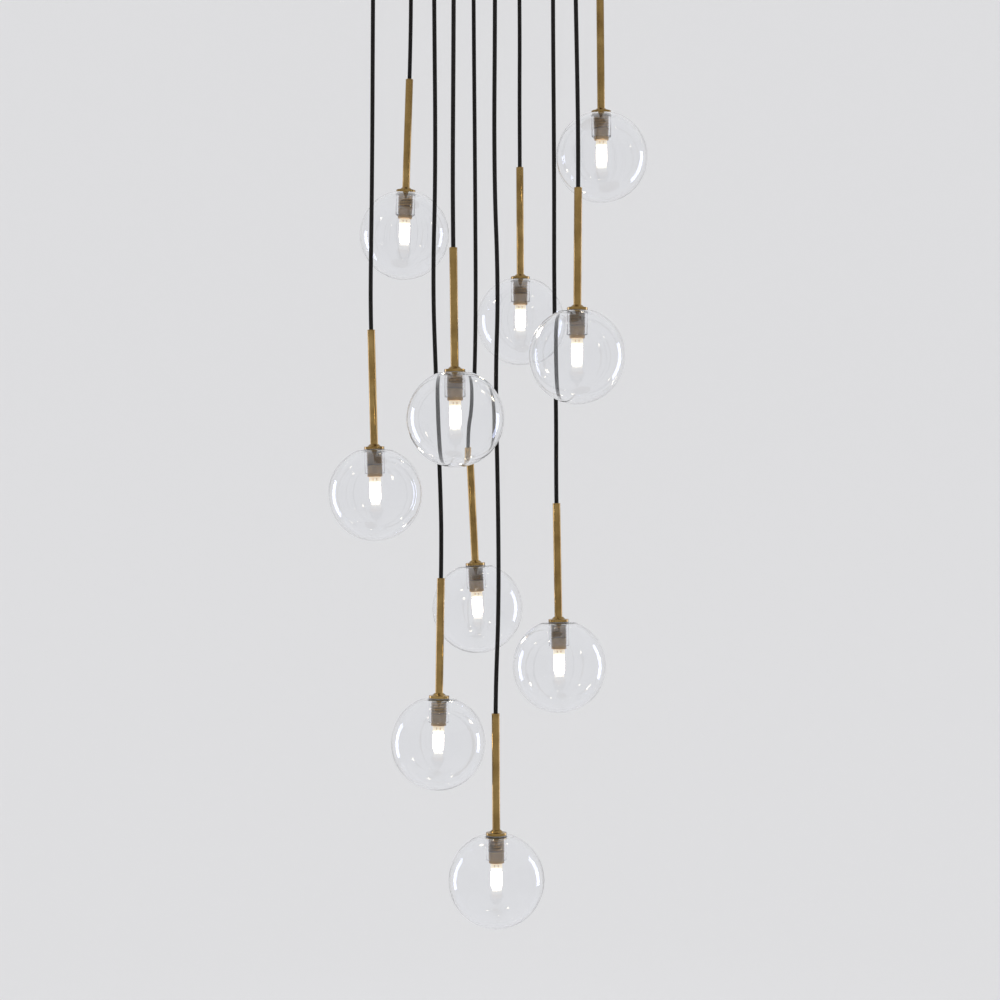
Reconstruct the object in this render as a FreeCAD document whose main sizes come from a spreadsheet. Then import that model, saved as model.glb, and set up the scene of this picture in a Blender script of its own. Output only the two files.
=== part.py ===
import FreeCAD, Part
import math
import os
import Sketcher

# Cluster pendant: ten clear glass globes on brass stems, each hung on its own braided cord
# from one round ceiling canopy. The origin is on the ceiling at the canopy's centre, +Z up.
# A pendant's own frame has its origin at the globe's centre and +Z up along the stem.

SIZES = {
    # globe of clear glass, with a neck that is turned inwards
    "globe_radius": 60.0,
    "glass_wall": 1.8,
    "globe_top": 56.0,
    "neck_bore": 10.3,
    "neck_wall": 2.5,
    "neck_length": 30.0,
    "shoulder_round": 4.0,
    "lip_round": 1.0,
    # brass cap over the glass, with its clear gasket
    "gasket_thickness": 1.0,
    "gasket_clearance": 0.4,
    "cap_radius": 13.0,
    "cap_thickness": 3.5,
    "cap_floor": 1.5,
    "collar_radius": 9.0,
    "collar_top_radius": 6.0,
    "collar_height": 3.0,
    # threaded brass sleeve of the lampholder
    "thread_radius": 10.0,
    "thread_depth": 0.9,
    "thread_half_width": 1.1,
    "thread_pitch": 3.6,
    "thread_margin": 2.4,
    "sleeve_bore": 8.2,
    "sleeve_length": 20.5,
    "sleeve_top_thickness": 2.0,
    # ceramic insert with its two contact slots
    "ceramic_radius": 9.6,
    "ceramic_length": 14.5,
    "spigot_radius": 8.1,
    "spigot_length": 9.5,
    "slot_width": 3.6,
    "slot_thickness": 1.9,
    "slot_depth": 16.0,
    "contact_thickness": 0.4,
    "contact_width": 3.5,
    "contact_length": 12.0,
    # capsule bulb with two flat pins
    "pinch_width": 14.5,
    "pinch_thickness": 7.0,
    "pinch_height": 9.0,
    "pinch_round": 1.5,
    "capsule_radius": 6.8,
    "capsule_wall": 1.0,
    "bulb_length": 34.0,
    "pin_spacing": 9.0,
    "pin_width": 3.0,
    "pin_thickness": 0.8,
    "pin_length": 8.0,
    "filament_radius": 0.8,
    "filament_length": 16.0,
    # brass stem: tube, nipple and nut below, bush and grub screw above
    "tube_radius": 5.0,
    "tube_wall": 1.0,
    "tube_length": 150.0,
    "fit_clearance": 0.05,
    "nipple_bore": 2.6,
    "nipple_length": 16.0,
    "nut_thickness": 3.0,
    "nut_circumradius": 6.4,
    "bush_length": 8.0,
    "bush_lip": 1.2,
    "cord_clearance": 0.1,
    "grub_radius": 1.5,
    "grub_depth": 4.0,
    "core_radius": 0.9,
    "core_offset": 1.1,
    # braided cord
    "cord_radius": 2.7,
    "cord_end_depth": 7.0,
    # spun canopy
    "canopy_radius": 200.0,
    "canopy_height": 30.0,
    "canopy_wall": 1.5,
    "canopy_round": 8.0,
    "outer_ring": 150.0,
    "inner_ring": 85.0,
    "hole_clearance": 0.3,
    # cord grips: flange under the canopy, nose with a bell mouth, thread and nut above
    "grip_flange_radius": 8.0,
    "grip_flange_thickness": 3.0,
    "grip_nose_radius": 6.2,
    "grip_nose_length": 9.0,
    "grip_thread_radius": 4.9,
    "grip_thread_length": 7.0,
    "mouth_depth": 6.0,
    "mouth_radius": 4.7,
    "swing_clearance": 0.3,
    "grip_nut_thickness": 4.0,
    "grip_nut_circumradius": 8.0,
    "grip_screw_radius": 1.3,
    "grip_screw_height": 1.5,
    # steel bracket on the ceiling and the four screws through the canopy's rim
    "bracket_thickness": 3.0,
    "bracket_disc_radius": 62.0,
    "arm_width": 30.0,
    "arm_clearance": 9.5,
    "tab_width": 24.0,
    "tab_drop": 20.0,
    "ceiling_hole_radius": 3.0,
    "ceiling_hole_ring": 75.0,
    "side_screw_radius": 2.0,
    "side_screw_length": 16.0,
    "side_screw_depth": 12.0,
    "side_head_radius": 5.0,
    "side_head_length": 6.0,
    # rubber grommet where the supply cable comes in
    "supply_across": 40.0,
    "supply_back": 24.0,
    "supply_bore": 6.0,
    "grommet_waist": 9.0,
    "grommet_lip": 11.0,
    "grommet_lip_thickness": 1.2,
    # terminal block and the leads inside the canopy
    "block_length": 76.0,
    "block_width": 22.0,
    "block_height": 15.0,
    "port_pitch": 12.0,
    "clamp_radius": 2.5,
    "clamp_thickness": 2.0,
    "clamp_inset": 6.0,
    "lead_radius": 1.8,
    "lead_level": 10.0,
    "lead_clearance": 0.2,
    # earth lead to its tag on the canopy's floor
    "earth_radius": 1.3,
    "earth_exit_run": 9.0,
    "earth_bend_reach": 16.0,
    "earth_bend_back": 5.0,
    "earth_bend_height": 6.0,
    "earth_entry_run": 5.0,
    "earth_entry_back": 3.0,
    "earth_entry_height": 1.0,
    "tag_radius": 4.5,
    "tag_thickness": 1.0,
    "tag_across": 70.0,
    "tag_back": 12.0,
    "stud_head_height": 2.5,
    "stud_head_radius": 3.5,
}

# Each pendant, left to right by its cord: the ring its hole is on, the hole's azimuth, how far
# the globe's centre hangs below the ceiling and beside its hole, and the lean of the stem (a
# positive lean runs to the right going down). A textile cord keeps slight bends from its
# coil, so no pendant hangs quite true.
PENDANTS = {
    1: {"ring": "outer_ring", "azimuth": 194.5, "drop": 967.3, "beside": 1.6, "lean": 1.51},
    2: {"ring": "outer_ring", "azimuth": 134.5, "drop": 618.2, "beside": -8.1, "lean": -1.85},
    3: {"ring": "inner_ring", "azimuth": 216.3, "drop": 1283.8, "beside": 5.5, "lean": -0.93},
    4: {"ring": "outer_ring", "azimuth": 254.5, "drop": 875.1, "beside": 0.7, "lean": 0.68},
    5: {"ring": "inner_ring", "azimuth": 103.6, "drop": 1119.1, "beside": 5.4, "lean": 2.88},
    6: {"ring": "inner_ring", "azimuth": 276.1, "drop": 1452.3, "beside": 2.0, "lean": 0.3},
    7: {"ring": "outer_ring", "azimuth": 74.5, "drop": 730.8, "beside": 3.3, "lean": 0.26},
    8: {"ring": "inner_ring", "azimuth": 348.9, "drop": 1188.7, "beside": 8.3, "lean": 0.99},
    9: {"ring": "outer_ring", "azimuth": 314.5, "drop": 795.9, "beside": 6.1, "lean": -0.36},
    10: {"ring": "outer_ring", "azimuth": 14.5, "drop": 524.6, "beside": 3.5, "lean": 0.53},
}
for number, pendant in PENDANTS.items():
    for word in ("azimuth", "drop", "beside", "lean"):
        SIZES[f"{word}_of_{number}"] = pendant[word]

# The bends of each cord between its two straight ends: how far beside the hole, and how far
# below the ceiling.
CORD_BENDS = {
    1: [(-0.4, 190.0), (-1.6, 336.0), (-2.6, 554.0), (-4.4, 680.0)],
    2: [(0.5, 180.0), (0.9, 300.0)],
    3: [(-0.6, 190.0), (0.2, 340.0), (2.2, 556.0), (-1.6, 697.0), (2.3, 815.0), (9.2, 985.0)],
    4: [(-0.9, 190.0), (-1.4, 400.0), (-2.5, 570.0)],
    5: [(-0.5, 170.0), (0.2, 330.0), (2.3, 560.0), (3.2, 740.0), (0.2, 850.0)],
    6: [(-0.5, 190.0), (0.3, 348.0), (-1.4, 561.0), (4.4, 712.0), (0.5, 826.0), (4.0, 975.0),
        (4.9, 1110.0)],
    7: [(0.6, 170.0), (2.3, 330.0), (1.9, 430.0)],
    8: [(0.4, 190.0), (0.0, 331.0), (1.8, 560.0), (1.6, 705.0), (4.3, 860.0)],
    9: [(1.5, 180.0), (4.2, 340.0), (7.0, 480.0)],
    10: [(0.3, 130.0), (1.5, 210.0)],
}
CORD_TOP_RUN = 45.0
CORD_FOOT_RUN = 26.0

# The terminal-block ports in the order of their pitch, front side and back side, and how far
# in front of its port each lead turns towards it.
FRONT_PORTS = {1: (-2.5, 15.0), 3: (-1.5, 25.0), 4: (-0.5, 29.0), 6: (0.5, 29.0),
               9: (1.5, 27.0), 8: (2.5, 18.0)}
BACK_PORTS = {2: (-1.5, 27.0), 5: (-0.5, 29.0), 7: (0.5, 29.0), 10: (1.5, 21.0)}

doc = FreeCAD.newDocument("cluster_pendant")
sheet = doc.addObject("Spreadsheet::Sheet", "Sizes")
for row, (alias, value) in enumerate(SIZES.items(), start=1):
    sheet.set(f"A{row}", alias)
    sheet.set(f"B{row}", str(value))
    sheet.setAlias(f"B{row}", alias)
doc.recompute()


def size(alias):
    """One size as the sheet holds it."""
    return float(sheet.get(alias))


def amount(words):
    """What a sum of sizes comes to, such as "globe_top - neck_length"."""
    total, sign = 0.0, 1
    for word in words.split():
        if word in ("+", "-"):
            sign = 1 if word == "+" else -1
        elif word != "0":
            total += sign * size(word)
    return total


def cells(words):
    """The same sum as an expression that reads the sheet."""
    return " ".join(word if word in ("+", "-", "0") else f"Sizes.{word}" for word in words.split())


# Heights in a pendant's frame, each a sum of sizes.
NECK_END = "globe_top - neck_length"
CAP_BASE = "globe_top + gasket_thickness"
CAP_SEAT = f"{CAP_BASE} + cap_floor"
CAP_TOP = f"{CAP_BASE} + cap_thickness"
COLLAR_TOP = f"{CAP_TOP} + collar_height"
TUBE_TOP = f"{CAP_SEAT} + tube_length"
SLEEVE_END = f"{CAP_BASE} - sleeve_length"
SLEEVE_CEILING = f"{CAP_BASE} - sleeve_top_thickness"
NUT_BASE = f"{SLEEVE_CEILING} - nut_thickness"
SPIGOT_TOP = f"{SLEEVE_END} + spigot_length"
CERAMIC_END = f"{SLEEVE_END} - ceramic_length"
CORD_END = f"{TUBE_TOP} - cord_end_depth"
PINCH_END = f"{CERAMIC_END} - pinch_height"
BULB_TIP = f"{CERAMIC_END} - bulb_length"

# Levels below the ceiling.
CANOPY_FLOOR = "- canopy_height + canopy_wall"
ARM_REACH = "canopy_radius - canopy_wall - arm_clearance"
ARM_SPAN = f"{ARM_REACH} + {ARM_REACH}"
MOUTH = "- canopy_height - grip_flange_thickness - grip_nose_length"
PIVOT = f"{MOUTH} + mouth_depth"
LEAD_START = f"{PIVOT} + cord_radius + swing_clearance"


def bind(thing, **sums):
    """Bind properties of a document object to sums of sizes."""
    for name, words in sums.items():
        thing.setExpression(name.replace("__", "."), cells(words))


def pin_point(sketch, element, end, across, up):
    """Tie a sketch point to the origin by two sums of sizes."""
    for kind, axis, words in (("DistanceX", -2, across), ("DistanceY", -1, up)):
        if words == "0":
            sketch.addConstraint(Sketcher.Constraint("PointOnObject", element, end, axis))
        else:
            row = sketch.addConstraint(Sketcher.Constraint(kind, -1, 1, element, end, amount(words)))
            sketch.setExpression(f"Constraints[{row}]", cells(words))


def new_sketch(body, name, role):
    """A sketch on one of the body's own origin planes."""
    sketch = body.newObject("Sketcher::SketchObject", name)
    plane = next(item for item in body.Origin.OriginFeatures if item.Role == role)
    sketch.AttachmentSupport = [(plane, "")]
    sketch.MapMode = "FlatFace"
    return sketch


def draw_polygon(sketch, corners):
    """A closed outline whose corners are pairs of sums of sizes."""
    points = [FreeCAD.Vector(amount(across), amount(up), 0) for across, up in corners]
    first = sketch.GeometryCount
    count = len(points)
    for k in range(count):
        sketch.addGeometry(Part.LineSegment(points[k], points[(k + 1) % count]))
    for k in range(count):
        following = first + (k + 1) % count
        sketch.addConstraint(Sketcher.Constraint("Coincident", first + k, 2, following, 1))
    for k, (across, up) in enumerate(corners):
        pin_point(sketch, first + k, 1, across, up)


def turned(name, corners):
    """A piece turned about Z from an outline of radii and heights."""
    body = doc.addObject("PartDesign::Body", name)
    sketch = new_sketch(body, f"{name}_profile", "XZ_Plane")
    draw_polygon(sketch, corners)
    turn = body.newObject("PartDesign::Revolution", f"{name}_turn")
    turn.Profile = sketch
    turn.ReferenceAxis = (sketch, ["V_Axis"])
    turn.Angle = 360
    doc.recompute()
    return body


def ring_edges(shape, places):
    """Names of the round edges about Z with the given (radius, height) pairs."""
    names = []
    for number, edge in enumerate(shape.Edges, start=1):
        if edge.Degenerated or not isinstance(edge.Curve, Part.Circle):
            continue
        found = (edge.Curve.Radius, edge.Curve.Center.z)
        if any(math.dist(found, place) < 0.01 for place in places):
            names.append(f"Edge{number}")
    return names


def round_edges(body, name, radius, places):
    """Round the ring-shaped edges at the given places."""
    base = body.Tip
    fillet = body.newObject("PartDesign::Fillet", name)
    fillet.Base = (base, ring_edges(base.Shape, places))
    fillet.Radius = amount(radius)
    bind(fillet, Radius=radius)
    body.Tip = fillet
    doc.recompute()


def rod(name, radius, height, base="0", across="0", back="0"):
    """An upright cylinder."""
    cylinder = doc.addObject("Part::Cylinder", name)
    bind(cylinder, Radius=radius, Height=height)
    bind(cylinder, Placement__Base__x=across, Placement__Base__y=back, Placement__Base__z=base)
    return cylinder


def side_rod(name, radius, length, start, height):
    """A cylinder that lies along +X from the radius start."""
    cylinder = rod(name, radius, length, base=height, across=start)
    cylinder.Placement.Rotation = FreeCAD.Rotation(FreeCAD.Vector(0, 1, 0), 90)
    return cylinder


def centred_box(name, length, width, height, base, across="0", back="0"):
    """A box centred over (across, back) that stands on the height base."""
    box = doc.addObject("Part::Box", name)
    bind(box, Length=length, Width=width, Height=height)
    box.setExpression("Placement.Base.x", f"{cells(across)} - ({cells(length)}) / 2")
    box.setExpression("Placement.Base.y", f"{cells(back)} - ({cells(width)}) / 2")
    box.setExpression("Placement.Base.z", cells(base))
    return box


def cut(name, base, *tools):
    """One piece with others taken out of it."""
    tool = tools[0]
    if len(tools) > 1:
        tool = doc.addObject("Part::MultiFuse", f"{name}_tools")
        tool.Shapes = list(tools)
    result = doc.addObject("Part::Cut", name)
    result.Base, result.Tool = base, tool
    return result


def placed(label, pieces, placement=FreeCAD.Placement()):
    """The given pieces together, moved to their place."""
    group = doc.addObject("Part::Compound", label)
    group.Links = list(pieces)
    group.Placement = placement
    return group


def globe():
    """Blown globe: a sphere cut flat on top, with its neck turned in."""
    body = doc.addObject("PartDesign::Body", "glass_globe")
    sketch = new_sketch(body, "glass_profile", "XZ_Plane")
    outer, top = size("globe_radius"), size("globe_top")
    inner, ceiling = outer - size("glass_wall"), top - size("glass_wall")
    bore, neck_end = size("neck_bore"), amount(NECK_END)
    neck = bore + size("neck_wall")
    shoulder = math.sqrt(outer**2 - top**2)
    inner_shoulder = math.sqrt(inner**2 - ceiling**2)
    centre, normal = FreeCAD.Vector(0, 0, 0), FreeCAD.Vector(0, 0, 1)
    corners = [(shoulder, top), (bore, top), (bore, neck_end), (neck, neck_end), (neck, ceiling),
               (inner_shoulder, ceiling)]
    for radius, (across, up) in ((outer, corners[0]), (inner, corners[-1])):
        ball = Part.Circle(centre, normal, radius)
        sketch.addGeometry(Part.ArcOfCircle(ball, -math.pi / 2, math.atan2(up, across)))
    points = [FreeCAD.Vector(across, up, 0) for across, up in corners]
    for start, end in zip(points, points[1:]):
        sketch.addGeometry(Part.LineSegment(start, end))
    sketch.addGeometry(Part.LineSegment(FreeCAD.Vector(0, -inner, 0), FreeCAD.Vector(0, -outer, 0)))
    last_line = len(points)
    closing = last_line + 1
    for arc, radius, lower_end in ((0, "globe_radius", 2), (1, "globe_radius - glass_wall", 1)):
        sketch.addConstraint(Sketcher.Constraint("Coincident", arc, 3, -1, 1))
        row = sketch.addConstraint(Sketcher.Constraint("Radius", arc, amount(radius)))
        sketch.setExpression(f"Constraints[{row}]", cells(radius))
        sketch.addConstraint(Sketcher.Constraint("PointOnObject", arc, 1, -2))
        sketch.addConstraint(Sketcher.Constraint("Coincident", closing, lower_end, arc, 1))
    for line in range(2, last_line):
        sketch.addConstraint(Sketcher.Constraint("Coincident", line, 2, line + 1, 1))
    sketch.addConstraint(Sketcher.Constraint("Coincident", 0, 2, 2, 1))
    sketch.addConstraint(Sketcher.Constraint("Coincident", 1, 2, last_line, 2))
    sketch.addConstraint(Sketcher.Constraint("Horizontal", 2))
    sketch.addConstraint(Sketcher.Constraint("Horizontal", last_line))
    pin_point(sketch, 3, 1, "neck_bore", "globe_top")
    pin_point(sketch, 4, 1, "neck_bore", NECK_END)
    pin_point(sketch, 5, 1, "neck_bore + neck_wall", NECK_END)
    pin_point(sketch, 6, 1, "neck_bore + neck_wall", "globe_top - glass_wall")
    turn = body.newObject("PartDesign::Revolution", "glass_turn")
    turn.Profile = sketch
    turn.ReferenceAxis = (sketch, ["V_Axis"])
    turn.Angle = 360
    doc.recompute()
    round_edges(body, "shoulder_fillet", "shoulder_round", [(shoulder, top)])
    round_edges(body, "lip_fillet", "lip_round",
                [(bore, top), (bore, neck_end), (neck, neck_end), (neck, ceiling)])
    return body


def holder():
    """Brass cap, gasket, threaded sleeve, nut, ceramic insert and contacts."""
    gasket = turned("gasket", [
        ("thread_radius + gasket_clearance", "globe_top"),
        ("cap_radius", "globe_top"),
        ("cap_radius", CAP_BASE),
        ("thread_radius + gasket_clearance", CAP_BASE),
    ])
    cap = turned("brass_cap", [
        ("tube_radius - tube_wall", CAP_BASE),
        ("cap_radius", CAP_BASE),
        ("cap_radius", CAP_TOP),
        ("collar_radius", CAP_TOP),
        ("collar_top_radius", COLLAR_TOP),
        ("tube_radius + fit_clearance", COLLAR_TOP),
        ("tube_radius + fit_clearance", CAP_SEAT),
        ("tube_radius - tube_wall", CAP_SEAT),
    ])
    sleeve = turned("threaded_sleeve", [
        ("tube_radius - tube_wall", SLEEVE_CEILING),
        ("sleeve_bore", SLEEVE_CEILING),
        ("sleeve_bore", SLEEVE_END),
        ("thread_radius", SLEEVE_END),
        ("thread_radius", CAP_BASE),
        ("tube_radius - tube_wall", CAP_BASE),
    ])
    cut_thread(sleeve)
    nut_blank = doc.addObject("Part::Prism", "holder_nut_blank")
    bind(nut_blank, Circumradius="nut_circumradius", Height="nut_thickness",
         Placement__Base__z=NUT_BASE)
    nut = cut("holder_nut", nut_blank,
              rod("holder_nut_bore", "tube_radius - tube_wall", "nut_thickness", NUT_BASE))
    insert = turned("ceramic_blank", [
        ("0", CERAMIC_END),
        ("ceramic_radius", CERAMIC_END),
        ("ceramic_radius", SLEEVE_END),
        ("spigot_radius", SLEEVE_END),
        ("spigot_radius", SPIGOT_TOP),
        ("0", SPIGOT_TOP),
    ])
    slots, contacts = [], []
    for side, name in ((-1, "left"), (1, "right")):
        slot = centred_box(f"{name}_slot", "slot_width", "slot_thickness", "slot_depth", CERAMIC_END)
        contact = centred_box(f"{name}_contact", "contact_width", "contact_thickness",
                              "contact_length", f"{CERAMIC_END} + slot_depth - contact_length")
        for piece, width in ((slot, "slot_width"), (contact, "contact_width")):
            piece.setExpression("Placement.Base.x",
                                f"{side} * Sizes.pin_spacing / 2 - Sizes.{width} / 2")
        contact.setExpression("Placement.Base.y",
                              "Sizes.slot_thickness / 2 - Sizes.contact_thickness")
        slots.append(slot)
        contacts.append(contact)
    ceramic = cut("ceramic_insert", insert, *slots)
    return [gasket, cap, sleeve, nut, ceramic, *contacts]


def cut_thread(sleeve):
    """V-shaped rings along the sleeve, which stand for its thread."""
    first = f"{SLEEVE_END} + thread_margin"
    sketch = new_sketch(sleeve, "thread_profile", "XZ_Plane")
    draw_polygon(sketch, [
        ("thread_radius + gasket_clearance", f"{first} - thread_half_width"),
        ("thread_radius + gasket_clearance", f"{first} + thread_half_width"),
        ("thread_radius - thread_depth", first),
    ])
    solid = sleeve.Tip.Shape.Volume
    groove = sleeve.newObject("PartDesign::Groove", "thread_groove")
    groove.Profile = sketch
    groove.ReferenceAxis = (sketch, ["V_Axis"])
    groove.Angle = 360
    doc.recompute()
    turns = int((size("sleeve_length") - 2 * size("thread_margin")) / size("thread_pitch")) + 1
    pattern = sleeve.newObject("PartDesign::LinearPattern", "thread_turns")
    pattern.Originals = [groove]
    pattern.Direction = (sketch, ["V_Axis"])
    pattern.Occurrences = turns
    pattern.Length = size("thread_pitch") * (turns - 1)
    pattern.setExpression("Length", f"Sizes.thread_pitch * {turns - 1}")
    sleeve.Tip = pattern
    doc.recompute()
    if not pattern.Shape.Volume < groove.Shape.Volume < solid:
        raise ValueError("the thread rings cut nothing out of the sleeve")


def bulb():
    """Capsule bulb: glass with a flat pinch, two pins and the filament."""
    pinch = centred_box("pinch_block", "pinch_width", "pinch_thickness", "pinch_height", PINCH_END)
    rounded = doc.addObject("Part::Fillet", "pinch")
    rounded.Base = pinch
    doc.recompute()
    upright = [n for n, edge in enumerate(pinch.Shape.Edges, start=1)
               if abs(edge.tangentAt(edge.FirstParameter).z) > 0.9]
    rounded.Edges = [(n, size("pinch_round"), size("pinch_round")) for n in upright]
    outside = capsule("capsule_glass", "capsule_radius")
    inside = capsule("capsule_hollow", "capsule_radius - capsule_wall")
    glass = doc.addObject("Part::MultiFuse", "bulb_glass")
    glass.Shapes = [rounded, outside]
    envelope = cut("bulb_envelope", glass, inside)
    pins = []
    for side, name in ((-1, "left"), (1, "right")):
        pin = centred_box(f"{name}_pin", "pin_width", "pin_thickness", "pin_length", CERAMIC_END)
        pin.setExpression("Placement.Base.x",
                          f"{side} * Sizes.pin_spacing / 2 - Sizes.pin_width / 2")
        pins.append(pin)
    filament = rod("filament", "filament_radius", "filament_length",
                   f"{PINCH_END} - filament_length")
    return [envelope, *pins, filament]


def capsule(name, radius):
    """A cylinder hung under the pinch with a round end."""
    tube = doc.addObject("Part::Cylinder", f"{name}_tube")
    tube.setExpression("Radius", cells(radius))
    end = f"({cells(BULB_TIP)}) + Sizes.capsule_radius"
    tube.setExpression("Height", f"({cells(PINCH_END)}) - ({end})")
    tube.setExpression("Placement.Base.z", end)
    dome = doc.addObject("Part::Sphere", f"{name}_dome")
    dome.setExpression("Radius", cells(radius))
    dome.setExpression("Placement.Base.z", end)
    whole = doc.addObject("Part::MultiFuse", name)
    whole.Shapes = [tube, dome]
    return whole


def stem():
    """Brass tube with its nipple, bush, grub screw and the two insulated cores in it."""
    tube_bore = "tube_radius - tube_wall"
    cord_bore = "cord_radius + cord_clearance"
    grub_height = f"{TUBE_TOP} - grub_depth"
    tube = cut("stem_tube", turned("tube_blank", [
        (tube_bore, CAP_SEAT),
        ("tube_radius", CAP_SEAT),
        ("tube_radius", TUBE_TOP),
        (tube_bore, TUBE_TOP),
    ]), side_rod("tube_screw_hole", "grub_radius", "tube_radius", "0", grub_height))
    bush = cut("stem_bush", turned("bush_blank", [
        (cord_bore, f"{TUBE_TOP} - bush_length"),
        (f"{tube_bore} - fit_clearance", f"{TUBE_TOP} - bush_length"),
        (f"{tube_bore} - fit_clearance", TUBE_TOP),
        ("tube_radius", TUBE_TOP),
        ("tube_radius", f"{TUBE_TOP} + bush_lip"),
        (cord_bore, f"{TUBE_TOP} + bush_lip"),
    ]), side_rod("bush_screw_hole", "grub_radius", "tube_radius", "0", grub_height))
    grub = side_rod("grub_screw", "grub_radius - fit_clearance",
                    "tube_radius - cord_radius - cord_clearance", cord_bore, grub_height)
    nipple = turned("nipple", [
        ("nipple_bore", f"{SPIGOT_TOP}"),
        (f"{tube_bore} - fit_clearance", f"{SPIGOT_TOP}"),
        (f"{tube_bore} - fit_clearance", f"{SPIGOT_TOP} + nipple_length"),
        ("nipple_bore", f"{SPIGOT_TOP} + nipple_length"),
    ])
    cores = []
    for name, across in (("left", "- core_offset"), ("right", "core_offset")):
        core = rod(f"{name}_core", "core_radius", "tube_length", SPIGOT_TOP, across)
        core.setExpression("Height", f"({cells(CORD_END)}) - ({cells(SPIGOT_TOP)})")
        cores.append(core)
    return [tube, bush, grub, nipple, *cores]


def hole_place(number):
    """Where a pendant's hole is in the canopy, as (across, back)."""
    ring = size(PENDANTS[number]["ring"])
    turn = math.radians(size(f"azimuth_of_{number}"))
    return ring * math.cos(turn), ring * math.sin(turn)


def pendant_place(number):
    """Placement of a pendant's own frame, at its globe's centre."""
    across, back = hole_place(number)
    centre = FreeCAD.Vector(across + size(f"beside_of_{number}"), back, -size(f"drop_of_{number}"))
    turn = FreeCAD.Rotation(FreeCAD.Vector(0, 1, 0), -size(f"lean_of_{number}"))
    return FreeCAD.Placement(centre, turn)


def tube_along(points, radius, report=None):
    """A round tube on straight runs joined by tangent arcs, each as large as its runs allow."""
    runs = [(b - a).Length for a, b in zip(points, points[1:])]
    edges, at, bends = [], points[0], []
    for k in range(1, len(points) - 1):
        corner = points[k]
        before = (corner - points[k - 1]).normalize()
        after = (points[k + 1] - corner).normalize()
        half_turn = before.getAngle(after) / 2
        reach = 0.45 * min(runs[k - 1], runs[k])
        bends.append(reach / math.tan(half_turn))
        start, end = corner - before * reach, corner + after * reach
        inward = (after - before).normalize()
        sagitta = reach * (1 / math.sin(half_turn) - 1 / math.tan(half_turn))
        middle = corner + inward * (reach * math.tan(half_turn / 2))
        if sagitta <= 0:
            raise ValueError("a cord's bend has no radius")
        edges += [Part.makeLine(at, start), Part.Arc(start, middle, end).toShape()]
        at = end
    edges.append(Part.makeLine(at, points[-1]))
    path = Part.Wire(edges)
    heading = points[1] - points[0]
    section = Part.Wire(Part.makeCircle(radius, points[0], heading))
    tube = path.makePipeShell([section], True, False)
    expected = math.pi * radius**2 * path.Length
    if abs(tube.Volume / expected - 1) > 0.01:
        raise ValueError("a tube's volume isn't its section times its length")
    if report:
        print(f"{report}: {path.Length:.0f} mm long, least radius {min(bends):.0f} mm, "
              f"volume over section times length {tube.Volume / expected:.4f}")
    return tube


def cord_shape(number):
    """A pendant's cord, from the ball end in its grip to its cut end inside the bush."""
    across, back = hole_place(number)
    pivot = amount(PIVOT)
    frame = pendant_place(number)
    foot = amount(f"{TUBE_TOP} + bush_lip")
    offsets = [(0.0, -pivot), (0.0, CORD_TOP_RUN - pivot), *CORD_BENDS[number]]
    points = [FreeCAD.Vector(across + beside, back, -below) for beside, below in offsets]
    points.append(frame.multVec(FreeCAD.Vector(0, 0, foot + CORD_FOOT_RUN)))
    points.append(frame.multVec(FreeCAD.Vector(0, 0, amount(CORD_END))))
    radius = size("cord_radius")
    tube = tube_along(points, radius, f"cord_{number}")
    ball = Part.makeSphere(radius, points[0], FreeCAD.Vector(0, 0, 1), 0, 90, 360)
    return tube.fuse(ball).removeSplitter()


def shaped(label, shape):
    """A piece whose shape is worked out from the sheet's sizes."""
    piece = doc.addObject("Part::Feature", label)
    piece.Shape = shape
    piece.Placement = FreeCAD.Placement()
    return piece


def drill_holes(body, name, radius, places):
    """Round holes right through a body about the given plan places, which are expressions."""
    sketch = new_sketch(body, f"{name}_sketch", "XY_Plane")
    for across, back in places:
        circle = sketch.addGeometry(Part.Circle(FreeCAD.Vector(across[0], back[0], 0),
                                                FreeCAD.Vector(0, 0, 1), amount(radius)))
        row = sketch.addConstraint(Sketcher.Constraint("Radius", circle, amount(radius)))
        sketch.setExpression(f"Constraints[{row}]", cells(radius))
        for kind, axis, (value, words) in (("DistanceX", -2, across), ("DistanceY", -1, back)):
            if value == 0:
                sketch.addConstraint(Sketcher.Constraint("PointOnObject", circle, 3, axis))
                continue
            row = sketch.addConstraint(Sketcher.Constraint(kind, -1, 1, circle, 3, value))
            sketch.setExpression(f"Constraints[{row}]", words)
    solid = body.Tip.Shape.Volume
    pocket = body.newObject("PartDesign::Pocket", name)
    pocket.Profile = sketch
    pocket.Type = 1
    pocket.Midplane = True
    body.Tip = pocket
    doc.recompute()
    if not pocket.Shape.Volume < solid:
        raise ValueError(f"{name} cuts nothing")


def plan_place(ring, azimuth):
    """A place on a ring as two (value, expression) pairs."""
    turn = math.radians(size(azimuth))
    return ((size(ring) * math.cos(turn), f"Sizes.{ring} * cos(Sizes.{azimuth} * 1deg)"),
            (size(ring) * math.sin(turn), f"Sizes.{ring} * sin(Sizes.{azimuth} * 1deg)"))


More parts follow.
